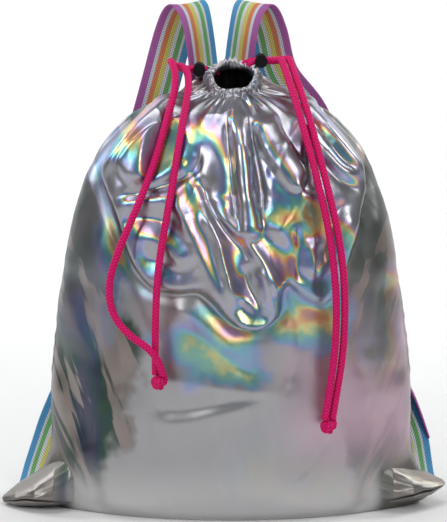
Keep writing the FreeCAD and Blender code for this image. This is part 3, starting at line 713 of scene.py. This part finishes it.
def braided_tube(name, line, diameter, tip=1.0, step=0.55):
    """A braided cord as a closed mesh tube along a line; tip is the far end's share of the diameter."""
    line, run = spaced(line, step)
    side, up = frames_along(line)
    angle = np.linspace(0.0, 2 * math.pi, AROUND, endpoint=False)
    relief = braid_relief(angle[None, :], run[:, None])
    radius = diameter / 2 * (0.84 + 0.18 * relief)
    radius *= (tip + (1 - tip) * smoothstep((run[-1] - run) / 1.2))[:, None]
    ring = side[:, None, :] * np.cos(angle)[:, None] + up[:, None, :] * np.sin(angle)[:, None]
    points = line[:, None, :] + ring * radius[..., None]
    faces = grid_faces(len(line), AROUND, closed_columns=True)
    points = np.vstack([points.reshape(-1, 3), line[:1], line[-1:]])
    first = len(line) * AROUND
    last_ring = first - AROUND
    for column in range(AROUND):
        beside = (column + 1) % AROUND
        faces.append([first, beside, column])
        faces.append([first + 1, last_ring + column, last_ring + beside])
    item = make_mesh(name, points, faces)
    add_layer(item, "braid", np.append(relief.reshape(-1), [0.5, 0.5]))
    return item, line


def make_knot(side, centre):
    """An overhand knot drawn tight round both strands, with a short cut tail."""
    t = np.linspace(0.0, 2 * math.pi, 160)
    x = 2.55 * (np.sin(t) + 1.55 * np.sin(2 * t)) * 0.72
    y = 2.35 * (np.cos(t) - 1.55 * np.cos(2 * t)) * 0.72
    z = -2.6 * np.sin(3 * t) - 6.2 + 2.4 * np.sin(t)
    loop = np.stack([x, y, z], axis=-1) + centre
    wrap, _ = braided_tube(f"drawcord_{side}_knot_wrap", loop, KNOT_CORD, step=0.45)
    tail_line = [(-0.5, 0.6, -8.0), (0.8, 0.2, -10.5), (1.6, -0.2, -12.0), (2.0, -0.4, -12.9)]
    tail_line = rounded(np.array(tail_line) + centre, 6)
    tail, _ = braided_tube(f"drawcord_{side}_knot_tail", tail_line, TAIL_CORD, tip=0.55, step=0.4)
    return [wrap, tail]


def make_cords():
    pieces = []
    for side in ("left", "right"):
        names = [f"drawcord_{side}_front_strand", f"drawcord_{side}_back_strand"]
        ends = [np.array(ROUTES[name][-1]) for name in names]
        knot = make_knot(side, (ends[0] + ends[1]) / 2 + (0.0, 0.0, 1.2))
        for piece in knot:
            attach(piece, "bag")
        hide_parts(f"drawcord_{side}_knot", f"drawcord_{side}_hem_run")
        for name, with_pieces in zip(names, (knot, knot[:1])):
            item, path = braided_tube(f"{name}_cord", nurbs_line(name, ROUTES[name]), CORD + CROWNS)
            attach(item, "bag")
            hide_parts(name)
            (path * MM).tolist()
            pieces.append(item)
        pieces += knot
    return pieces


# ---------------- shoulder straps

# centre of the webbing and the direction from its purple edge to its blue edge, as in the CAD model
LEFT_STRAP = [
    ((-14.0, 28.6, 316.0), (0.75, 0.66, 0.0)),
    ((-15.5, 36.3, 336.0), (0.73, 0.68, 0.0)),
    ((-17.0, 40.7, 356.0), (0.72, 0.69, 0.0)),
    ((-20.0, 41.8, 379.0), (0.72, 0.69, 0.05)),
    ((-23.5, 44.0, 394.5), (0.76, 0.64, 0.1)),
    ((-28.5, 49.5, 401.5), (0.85, 0.5, 0.12)),
    ((-34.0, 55.0, 395.5), (0.93, 0.3, 0.2)),
    ((-40.5, 58.5, 377.0), (0.96, 0.12, 0.25)),
    ((-50.0, 61.5, 343.0), (0.96, 0.0, 0.27)),
    ((-60.0, 65.0, 308.0), (0.96, 0.0, 0.27)),
    ((-73.0, 68.5, 262.0), (0.96, 0.0, 0.27)),
    ((-87.0, 68.0, 212.0), (0.96, 0.05, 0.27)),
    ((-98.0, 65.5, 172.0), (0.80, 0.6, 0.2)),
    ((-107.5, 62.0, 140.0), (0.0, 1.0, 0.0)),
    ((-118.0, 57.5, 108.0), (-0.80, 0.6, -0.2)),
    ((-129.5, 50.0, 77.0), (-0.94, 0.1, -0.35)),
    ((-142.5, 39.0, 46.0), (-0.93, 0.0, -0.37)),
    ((-150.5, 19.0, 25.0), (-0.93, 0.0, -0.37)),
    ((-154.0, 0.0, 14.0), (-0.93, 0.0, -0.37)),
]
LOOP_END = 9
TAIL = [
    ((148.0, 50.0, 92.0), (0.0, 1.0, 0.0)),
    ((157.0, 52.0, 80.0), (0.0, 1.0, 0.0)),
    ((165.5, 53.0, 60.0), (0.0, 1.0, 0.0)),
    ((173.0, 52.0, 38.0), (0.0, 1.0, 0.0)),
]
LOOP_SHIFT = -4.0               # the right strap is the left one mirrored and moved by this in x
RUN_SHIFT = 12.0
WEBBING = 32.0
WEBBING_THICK = 1.6
WEBBING_COLUMNS = 48            # points across the webbing, on its outer face and again on its inner
WEBBING_STEPS = 22
OUTER_GAP = 1.9                 # least distance of the webbing's outer face from the back panel
INNER_GAP = 0.6                 # and of its inner face
LAID_BELOW = 350.0              # the straps lie on the back panel only under this level
LEFT_FOOT = ((-14.8, 34.0, 327.0), (0.74, 0.67, 0.0))


def mirrored(stations, shift):
    return [((shift - c[0], c[1], c[2]), (-a[0], a[1], a[2])) for c, a in stations]


RIGHT_STRAP = mirrored(LEFT_STRAP[:LOOP_END], LOOP_SHIFT) + mirrored(LEFT_STRAP[LOOP_END:-2], RUN_SHIFT)
RIGHT_STRAP.append(((158.5, 27.0, 27.0), (0.93, 0.0, -0.37)))
RIGHT_STRAP.append(((160.0, 11.0, 16.0), (0.88, -0.2, -0.42)))
RIGHT_FOOT = ((10.8, 34.0, 327.0), (-0.74, 0.67, 0.0))


def make_webbing(name, stations, rounded_end=False):
    """Woven webbing along smooth stations; its UV runs across, from 0 to 1, and along, in metres."""
    centres = rounded([c for c, _ in stations], WEBBING_STEPS)
    ways = rounded([a for _, a in stations], WEBBING_STEPS)
    along = np.gradient(centres, axis=0)
    along /= np.linalg.norm(along, axis=1, keepdims=True)
    ways = ways - along * (ways * along).sum(1, keepdims=True)
    ways /= np.linalg.norm(ways, axis=1, keepdims=True)
    out = np.cross(along, ways)
    run = distance_along(centres)
    place = np.linspace(-1.0, 1.0, WEBBING_COLUMNS)
    # a rounded rectangle's outline: over the top, then back underneath
    edge = np.clip((np.abs(place) - 0.955) / 0.045, 0.0, 1.0)
    thick = WEBBING_THICK / 2 * np.sqrt(np.clip(1.0 - edge ** 2, 0.02, 1.0))
    bead = 0.10 * np.exp(-((np.abs(place) - 0.93) / 0.03) ** 2)
    ripple = 0.05 * np.cos(place * 30.0)
    top = thick + bead + ripple
    outline_across = np.concatenate([place, place[::-1]])
    outline_out = np.concatenate([top, -top[::-1]])
    cup = 0.35 * (1 - outline_across ** 2)
    wide = np.full(len(run), WEBBING / 2)
    if rounded_end:
        wide *= np.sqrt(np.clip((run[-1] - run) / 2.0, 0.15, 1.0))
    wobble = 0.25 * np.sin(run / 23.0)
    points = (
        centres[:, None, :]
        + ways[:, None, :] * (outline_across[None, :, None] * wide[:, None, None])
        + out[:, None, :] * (outline_out + cup)[None, :, None]
        + ways[:, None, :] * wobble[:, None, None]
    )
    rows, columns = points.shape[:2]
    faces = grid_faces(rows, columns, closed_columns=True)
    for row, order in ((0, 1), (rows - 1, -1)):
        for number in range(WEBBING_COLUMNS - 1):
            quad = [number, number + 1, columns - 2 - number, columns - 1 - number]
            faces.append([row * columns + k for k in quad][::-order])
    item = make_mesh(name, points.reshape(-1, 3), faces)
    uv = item.data.uv_layers.new(name="webbing")
    vertex_uv = np.stack([
        np.tile(outline_across * 0.5 + 0.5, (rows, 1)), np.tile((run * MM)[:, None], (1, columns)),
    ], axis=-1).reshape(-1, 2)
    loops = np.zeros(len(item.data.loops), np.int32)
    item.data.loops.foreach_get("vertex_index", loops)
    uv.data.foreach_set("uv", vertex_uv[loops].reshape(-1).astype(np.float32))
    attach(item, "bag")
    return item


def lay_on(item, panel):
    """Moves the webbing's points that are inside the bag out onto the back panel."""
    corners = [vertex.co for vertex in panel.data.vertices]
    tree = BVHTree.FromPolygons(corners, [face.vertices for face in panel.data.polygons])
    for vertex in item.data.vertices:
        if vertex.co.z > LAID_BELOW * MM:
            continue
        behind = Vector((vertex.co.x, 0.3, vertex.co.z))
        hit = tree.ray_cast(behind, Vector((0.0, -1.0, 0.0)))[0]
        if hit is None:
            continue
        outer = vertex.index % (2 * WEBBING_COLUMNS) < WEBBING_COLUMNS
        vertex.co.y = max(vertex.co.y, hit.y + (OUTER_GAP if outer else INNER_GAP) * MM)


def make_straps():
    # each loop's lower end stops outside the back panel, below the hem
    left = make_webbing("strap_left_webbing", [LEFT_FOOT] + LEFT_STRAP[1:])
    right = make_webbing("strap_right_webbing", [RIGHT_FOOT] + RIGHT_STRAP[1:])
    tail = make_webbing("strap_right_webbing_tail", TAIL, rounded_end=True)
    for item in (left, right):
        lay_on(item, panels[1])
    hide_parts("strap_left_loop", "strap_left_run")
    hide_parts("strap_right_loop", "strap_right_run")
    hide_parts("strap_right_tail")
    return [left, right, tail]


# ---------------- materials


class Signal:
    """An output of a material node that can stand in sums and products."""

    def __init__(self, nodes, socket):
        self.nodes = nodes
        self.socket = socket

    def __add__(self, other):
        return self.nodes.math("ADD", self, other)

    def __sub__(self, other):
        return self.nodes.math("SUBTRACT", self, other)

    def __rsub__(self, other):
        return self.nodes.math("SUBTRACT", other, self)

    def __mul__(self, other):
        return self.nodes.math("MULTIPLY", self, other)

    def __truediv__(self, other):
        return self.nodes.math("DIVIDE", self, other)


class Nodes:
    """A short way to wire a material's node tree."""

    def __init__(self, name):
        self.material = bpy.data.materials.new(name)
        self.material.use_nodes = True
        self.tree = self.material.node_tree
        self.tree.nodes.clear()

    def add(self, kind, inputs=None, **settings):
        """A new node; each input is set to its value, or linked where the value is a signal."""
        node = self.tree.nodes.new("ShaderNode" + kind)
        for key, value in settings.items():
            setattr(node, key, value)
        for key, value in (inputs or {}).items():
            if isinstance(value, Signal):
                self.tree.links.new(value.socket, node.inputs[key])
            else:
                node.inputs[key].default_value = value
        return node

    def signal(self, output, kind, inputs=None, **settings):
        """One output of a new node."""
        return Signal(self, self.add(kind, inputs, **settings).outputs[output])

    def math(self, operation, first, second=0.0, clamp=False):
        return self.signal(0, "Math", {0: first, 1: second}, operation=operation, use_clamp=clamp)

    def mix(self, factor, first, second):
        """From the first colour to the second, as factor goes from 0 to 1."""
        inputs = {0: factor}
        for key, value in ((6, first), (7, second)):
            inputs[key] = (*value, 1.0) if isinstance(value, tuple) else value
        return self.signal(2, "Mix", inputs, data_type="RGBA", clamp_factor=True)

    def ramp(self, factor, stops, interpolation="LINEAR"):
        node = self.add("ValToRGB", {0: factor})
        node.color_ramp.interpolation = interpolation
        elements = node.color_ramp.elements
        elements.remove(elements[-1])
        for number, (position, colour) in enumerate(stops):
            element = elements[0] if number == 0 else elements.new(position)
            element.position = position
            element.color = (*colour, 1.0)
        return Signal(self, node.outputs[0])

    def range(self, value, low, high, out_low=0.0, out_high=1.0, smooth=True):
        inputs = {"Value": value, "From Min": low, "From Max": high, "To Min": out_low, "To Max": out_high}
        return self.signal(0, "MapRange", inputs, interpolation_type="SMOOTHSTEP" if smooth else "LINEAR")

    def split(self, vector):
        """A vector's x, y and z."""
        return [Signal(self, output) for output in self.add("SeparateXYZ", {0: vector}).outputs]

    def place(self, scale=(1.0, 1.0, 1.0)):
        """Object coordinates in metres, scaled."""
        return self.signal(0, "Mapping", {"Vector": self.signal("Object", "TexCoord"), "Scale": scale})

    def noise(self, vector, scale, detail=3.0, roughness=0.5, distortion=0.0, output="Fac"):
        inputs = {"Vector": vector, "Scale": scale, "Detail": detail, "Roughness": roughness}
        return self.signal(output, "TexNoise", {**inputs, "Distortion": distortion})

    def bump(self, height, strength, distance, **normal):
        inputs = {"Height": height, "Strength": strength, "Distance": distance, **normal}
        return self.signal(0, "Bump", inputs)

    def surface(self, **inputs):
        """Finishes the material; an underscore in an input's keyword stands for a space."""
        inputs = {key.replace("_", " "): value for key, value in inputs.items()}
        self.add("OutputMaterial", {"Surface": self.signal(0, "BsdfPrincipled", inputs)})
        return self.material


SILVER = (0.40, 0.40, 0.43)
LILAC = (0.42, 0.42, 0.60)
RAINBOW = [
    (0.00, SILVER), (0.14, SILVER), (0.24, LILAC), (0.32, (0.27, 0.32, 0.62)), (0.41, (0.16, 0.44, 0.58)),
    (0.475, (0.24, 0.56, 0.40)), (0.53, (0.78, 0.74, 0.28)), (0.575, (0.88, 0.45, 0.20)),
    (0.625, (0.66, 0.36, 0.50)), (0.70, LILAC), (0.82, SILVER), (1.00, SILVER),
]
# painted reflections on the belly, patches of rainbow: x, z, half width and half height in metres
PAINTED_GLEAMS = [(-0.006, 0.142, 0.050, 0.036), (0.066, 0.166, 0.040, 0.034)]


def foil_material():
    """Silver foil cloth; the rainbow its fine grating throws off the light is painted into the colour by
    the way each spot faces, a painted reflection.
    """
    n = Nodes("holographic_foil")
    where = n.place()
    # cloth grain under the foil, small dents and fine crinkles
    grain = n.noise(where, 2600.0, 2.0)
    dents = n.noise(where, 130.0, 4.0, 0.55)
    crinkle = n.noise(n.place((60.0, 60.0, 26.0)), 1.0, 5.0, 0.55, 0.6)
    droop = n.signal("Fac", "Attribute", attribute_name="droop")
    # angular facets, as foil creases
    warp = n.noise(where, 24.0, 2.0, output="Color")
    bent = {0: warp, 1: (0.05, 0.05, 0.05), 2: n.place((1.0, 1.0, 0.6))}
    bent = n.signal(0, "VectorMath", bent, operation="MULTIPLY_ADD")
    facets = n.signal("Distance", "TexVoronoi", {"Vector": bent, "Scale": 34.0}, feature="F1")
    bump = n.bump(facets * (droop * 0.8 + 0.12), 0.32, 0.006)
    bump = n.bump(crinkle, 0.26, 0.0012, Normal=bump)
    bump = n.bump(dents, 0.14, 0.0005, Normal=bump)
    bump = n.bump(grain, 0.08, 0.00008, Normal=bump)
    # the way the cloth faces, without the fine bumps
    sideways, forward, upward = n.split(n.signal("Normal", "NewGeometry"))
    across, _, level = n.split(where)
    out = n.math("ABSOLUTE", across)
    # painted reflection: the grating's phase, from how the spot is turned towards the lights, and a slow
    # drift of the grating itself
    drift = n.noise(where, 9.0, 1.5)
    phase = upward * 0.75 + sideways * 0.50 + drift * 1.50 + n.noise(where, 38.0, 2.0) * 0.16
    painted_spectrum = n.ramp(n.math("FRACT", phase - 0.55), RAINBOW)
    # how strong the painted rainbow reflection is: strongest on the droop and in random patches, weaker
    # low down
    patches = n.range(n.noise(where, 15.0, 2.0, 0.5, 0.4), 0.46, 0.62)
    upper = n.range(level, 0.09, 0.19) * 0.9 + 0.10
    strength = n.math("MULTIPLY", droop * 0.85 + patches * 0.40, upper, clamp=True)
    # painted reflections: rainbow patches on the belly where it faces forward, each banded from its edge
    # to its middle
    painted_gleam = 0.0
    for centre_x, centre_z, wide, tall in PAINTED_GLEAMS:
        from_x = (across - centre_x) / wide
        from_z = (level - centre_z) / tall
        far = n.math("SQRT", from_x * from_x + from_z * from_z)
        far = far + (n.noise(where, 30.0, 3.0) - 0.5) * 1.6
        painted_gleam = n.math("MAXIMUM", n.range(far, 1.0, 0.1, smooth=False), painted_gleam)
    painted_gleam = painted_gleam * n.range(forward, 0.1, -0.3)
    banded = n.ramp(painted_gleam * 0.30 + upward * 0.25 + 0.28, RAINBOW)
    # painted shade: the cloth at the sides and lower down, where it turns away from the lights, is painted
    # darker, green at the left and grey at the right
    reach = n.math("ABSOLUTE", across - 0.006) + n.math("MINIMUM", level, 0.11) * 0.35
    side = n.range(reach + (n.noise(where, 26.0, 3.0) - 0.5) * 0.06, 0.106, 0.119)
    left = n.range(across, 0.02, -0.06)
    tints = [(0.36, (0.10, 0.085, 0.13)), (0.44, (0.055, 0.075, 0.105)), (0.52, (0.052, 0.095, 0.072)),
             (0.60, (0.085, 0.10, 0.09)), (0.68, (0.14, 0.12, 0.12))]
    green = n.ramp(n.noise(n.place((22.0, 22.0, 10.0)), 1.0, 3.0, 0.5, 0.7), tints)
    body = n.mix(side, (0.40, 0.40, 0.41), n.mix(left, (0.17, 0.18, 0.17), green))
    # long streaks that lean in towards the base
    slanted = n.signal(0, "CombineXYZ", {0: (level * 0.35 - out) * 46.0, 1: level * 7.0})
    streak = n.range(n.noise(slanted, 1.0, 4.0, 0.5, 0.7), 0.53, 0.565)
    body = n.mix(streak * side * 0.85, body, (0.33, 0.28, 0.26))
    # a painted reflection of the pale floor along the base, brownish corners, and rose at the lower right
    low = n.range(level, 0.055, 0.005) * n.range(out, 0.132, 0.118)
    body = n.mix(low, body, (0.58, 0.57, 0.57))
    corner = n.range(out, 0.124, 0.140) * n.range(level, 0.062, 0.046)
    body = n.mix(corner, body, n.mix(n.noise(where, 18.0, 2.0), (0.30, 0.27, 0.24), (0.22, 0.21, 0.20)))
    rose = n.range(across, 0.02, 0.09) * (n.range(level, 0.03, 0.08) * n.range(level, 0.21, 0.13))
    body = n.mix(rose * n.range(drift, 0.30, 0.5) * 0.8, body, (0.60, 0.42, 0.52))
    colour = n.mix(strength, n.mix(droop, body, (0.36, 0.36, 0.39)), painted_spectrum)
    # the painted reflection patches show most away from the droop
    shown = n.range(painted_gleam, 0.0, 0.3, 0.0, 0.75) * (1.0 - droop * 0.7)
    colour = n.mix(shown, colour, banded)
    rough = n.mix(droop, (0.34, 0.34, 0.34), (0.27, 0.27, 0.27))
    rough = n.range(crinkle, 0.2, 0.8, 0.0, 0.10) + rough
    return n.surface(Base_Color=colour, Metallic=1.0, Roughness=rough, Normal=bump)


# painted shade: the inside of the cloth is painted near black, for the shade inside the bag
def inner_shade_material():
    n = Nodes("painted_inner_shade")
    where = n.place()
    weave = n.noise(where, 1800.0, 2.0)
    shade = n.ramp(n.noise(where, 60.0), [(0.3, (0.006, 0.006, 0.007)), (0.7, (0.014, 0.014, 0.016))])
    return n.surface(Base_Color=shade, Roughness=0.75, Normal=n.bump(weave, 0.3, 0.0002))


def cord_material():
    n = Nodes("magenta_braid")
    crown = n.signal("Fac", "Attribute", attribute_name="braid")
    fibres = n.noise(n.place(), 1500.0)
    # painted shade: the braid's gaps are painted darker than the strands' crowns
    magenta_and_gap_shade = n.mix(n.range(crown, 0.30, 0.85), (0.32, 0.001, 0.060), (0.76, 0.003, 0.155))
    magenta_and_gap_shade = n.mix(fibres * 0.15, magenta_and_gap_shade, (0.74, 0.008, 0.17))
    bump = n.bump(fibres, 0.35, 0.0003)
    return n.surface(Base_Color=magenta_and_gap_shade, Roughness=0.62, Specular_IOR_Level=0.22, Normal=bump)


STRIPES = [
    # end of the stripe across the webbing, colour
    (0.185, (0.40, 0.055, 0.34)), (0.275, (0.66, 0.70, 0.80)), (0.405, (0.74, 0.19, 0.016)),
    (0.520, (0.68, 0.63, 0.085)), (0.625, (0.70, 0.73, 0.76)), (0.745, (0.11, 0.43, 0.08)),
    (0.815, (0.68, 0.72, 0.78)), (1.000, (0.018, 0.31, 0.62)),
]
RIBS = 22                       # warp ribs across the webbing
PICK = 0.0024                   # length of one pick of weft, metres


def webbing_material():
    n = Nodes("striped_webbing")
    across, along, _ = n.split(n.signal(0, "UVMap", uv_map="webbing"))
    stops = [(0.0, STRIPES[0][1])]
    stops += [(end, colour) for (end, _), (_, colour) in zip(STRIPES, STRIPES[1:])]
    stripes = n.ramp(across, stops, "CONSTANT")
    # warp ribs run along the webbing, and each pick of weft crosses them
    ribs = n.math("SINE", across * (2 * math.pi * RIBS))
    picks = n.math("SINE", along * (2 * math.pi / PICK) + across * (math.pi * RIBS))
    weave = ribs * 0.25 + picks * 0.25 + 0.5
    fuzz = n.noise(n.place(), 1400.0)
    # painted shade: the hollows between ribs and picks are painted near black
    shade = n.mix(n.range(weave, 0.10, 0.62, 0.78, 0.0), stripes, (0.06, 0.07, 0.11))
    shade = n.mix(fuzz * 0.08, shade, (0.9, 0.9, 0.95))
    bump = n.bump(weave + fuzz * 0.35, 0.55, 0.0004)
    return n.surface(Base_Color=shade, Roughness=0.85, Sheen_Weight=0.05, Normal=bump)


def plastic_material():
    n = Nodes("black_lock_plastic")
    where = n.place()
    grain = n.noise(where, 900.0)
    scuffs = n.noise(where, 160.0, 4.0)
    shade = n.ramp(scuffs, [(0.35, (0.004, 0.004, 0.005)), (0.75, (0.010, 0.010, 0.011))])
    rough = n.range(scuffs, 0.3, 0.7, 0.62, 0.75)
    bump = n.bump(grain, 0.3, 0.0002)
    return n.surface(Base_Color=shade, Roughness=rough, Specular_IOR_Level=0.15, Normal=bump)


def steel_material():
    n = Nodes("spring_steel_wire")
    lines = n.noise(n.place((1.0, 1.0, 12.0)), 700.0, 2.0)
    shade = n.ramp(lines, [(0.3, (0.42, 0.42, 0.43)), (0.7, (0.60, 0.60, 0.61))])
    rough = n.range(lines, 0.3, 0.7, 0.24, 0.4)
    return n.surface(Base_Color=shade, Metallic=1.0, Roughness=rough, Normal=n.bump(lines, 0.2, 0.0001))


def dress(item, *materials):
    item.data.materials.clear()
    for material in materials:
        item.data.materials.append(material)


# ---------------- studio


def make_studio():
    """A pale floor that curves up into a backdrop, and soft lights."""
    curve_start = 1.4
    radius = 0.6
    profile = [(-1.9, 0.0), (curve_start, 0.0)]
    for step in range(1, 13):
        turn = step / 12 * math.pi / 2
        profile.append((curve_start + radius * math.sin(turn), radius - radius * math.cos(turn)))
    profile.append((curve_start + radius, 2.6))
    points = [(side * 2.2 / MM, y / MM, z / MM) for y, z in profile for side in (-1, 1)]
    faces = [(2 * k, 2 * k + 1, 2 * k + 3, 2 * k + 2) for k in range(len(profile) - 1)]
    floor = make_mesh("studio_floor", points, faces)
    n = Nodes("pale_floor")
    shade = n.ramp(n.noise(n.place(), 3.0, 2.0), [(0.3, (0.86, 0.86, 0.86)), (0.7, (0.88, 0.88, 0.88))])
    dress(floor, n.surface(Base_Color=shade, Roughness=0.9))
    world = bpy.data.worlds.new("studio")
    bpy.context.scene.world = world
    world.use_nodes = True
    background = world.node_tree.nodes["Background"]
    background.inputs[0].default_value = (0.20, 0.205, 0.21, 1.0)
    background.inputs[1].default_value = 1.0
    lights = [
        # name, place, size, power, aim; metres and watts
        ("key_left", (-1.10, -1.25, 1.10), (0.7, 0.7), 8.5, (0.0, 0.0, 0.22)),
        ("key_right", (0.95, -1.35, 1.10), (0.6, 0.7), 7.5, (0.0, 0.0, 0.22)),
        ("overhead", (0.0, -0.35, 1.8), (1.2, 0.8), 9.0, (0.0, 0.0, 0.2)),
        ("backdrop_left", (-1.5, 0.8, 1.4), (0.8, 0.8), 20.0, (0.0, 1.8, 0.5)),
        ("backdrop_right", (1.5, 0.8, 1.4), (0.8, 0.8), 20.0, (0.0, 1.8, 0.5)),
    ]
    for name, place, sizes, power, aim in lights:
        data = bpy.data.lights.new(name, "AREA")
        data.shape = "RECTANGLE"
        data.size, data.size_y = sizes
        data.energy = power
        item = bpy.data.objects.new(name, data)
        item.location = place
        item.rotation_euler = (Vector(aim) - Vector(place)).to_track_quat("-Z", "Y").to_euler()
        bpy.context.scene.collection.objects.link(item)

# ---------------- build

cords = make_cords()
panels = make_panels()
ears = make_ears()
straps = make_straps()

foil = foil_material()
braid = cord_material()
webbing = webbing_material()
plastic = plastic_material()
inner_shade = inner_shade_material()
# the panels' inner faces get the painted shade of the bag's inside
for items, materials in ((panels, [foil, inner_shade]), (ears, [foil]), (cords, [braid]), (straps, [webbing])):
    for item in items:
        dress(item, *materials)
# what a CAD part's name holds, and its material; the rest are foil
looks = {
    "barrel": plastic, "plunger": plastic, "spring": steel_material(), "drawcord": braid,
    "strap": webbing,
}
for name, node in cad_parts.items():
    dress(node, next((material for word, material in looks.items() if word in name), foil))

# Each spring gets a mesh of its own. As a plunger is pressed, its spring shortens towards its closed end,
# which has the largest y.
for side in ("left", "right"):
    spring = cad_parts[f"cord_lock_{side}_spring"]
    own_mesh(spring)
make_studio()

bpy.context.scene.view_settings.view_transform = "Standard"
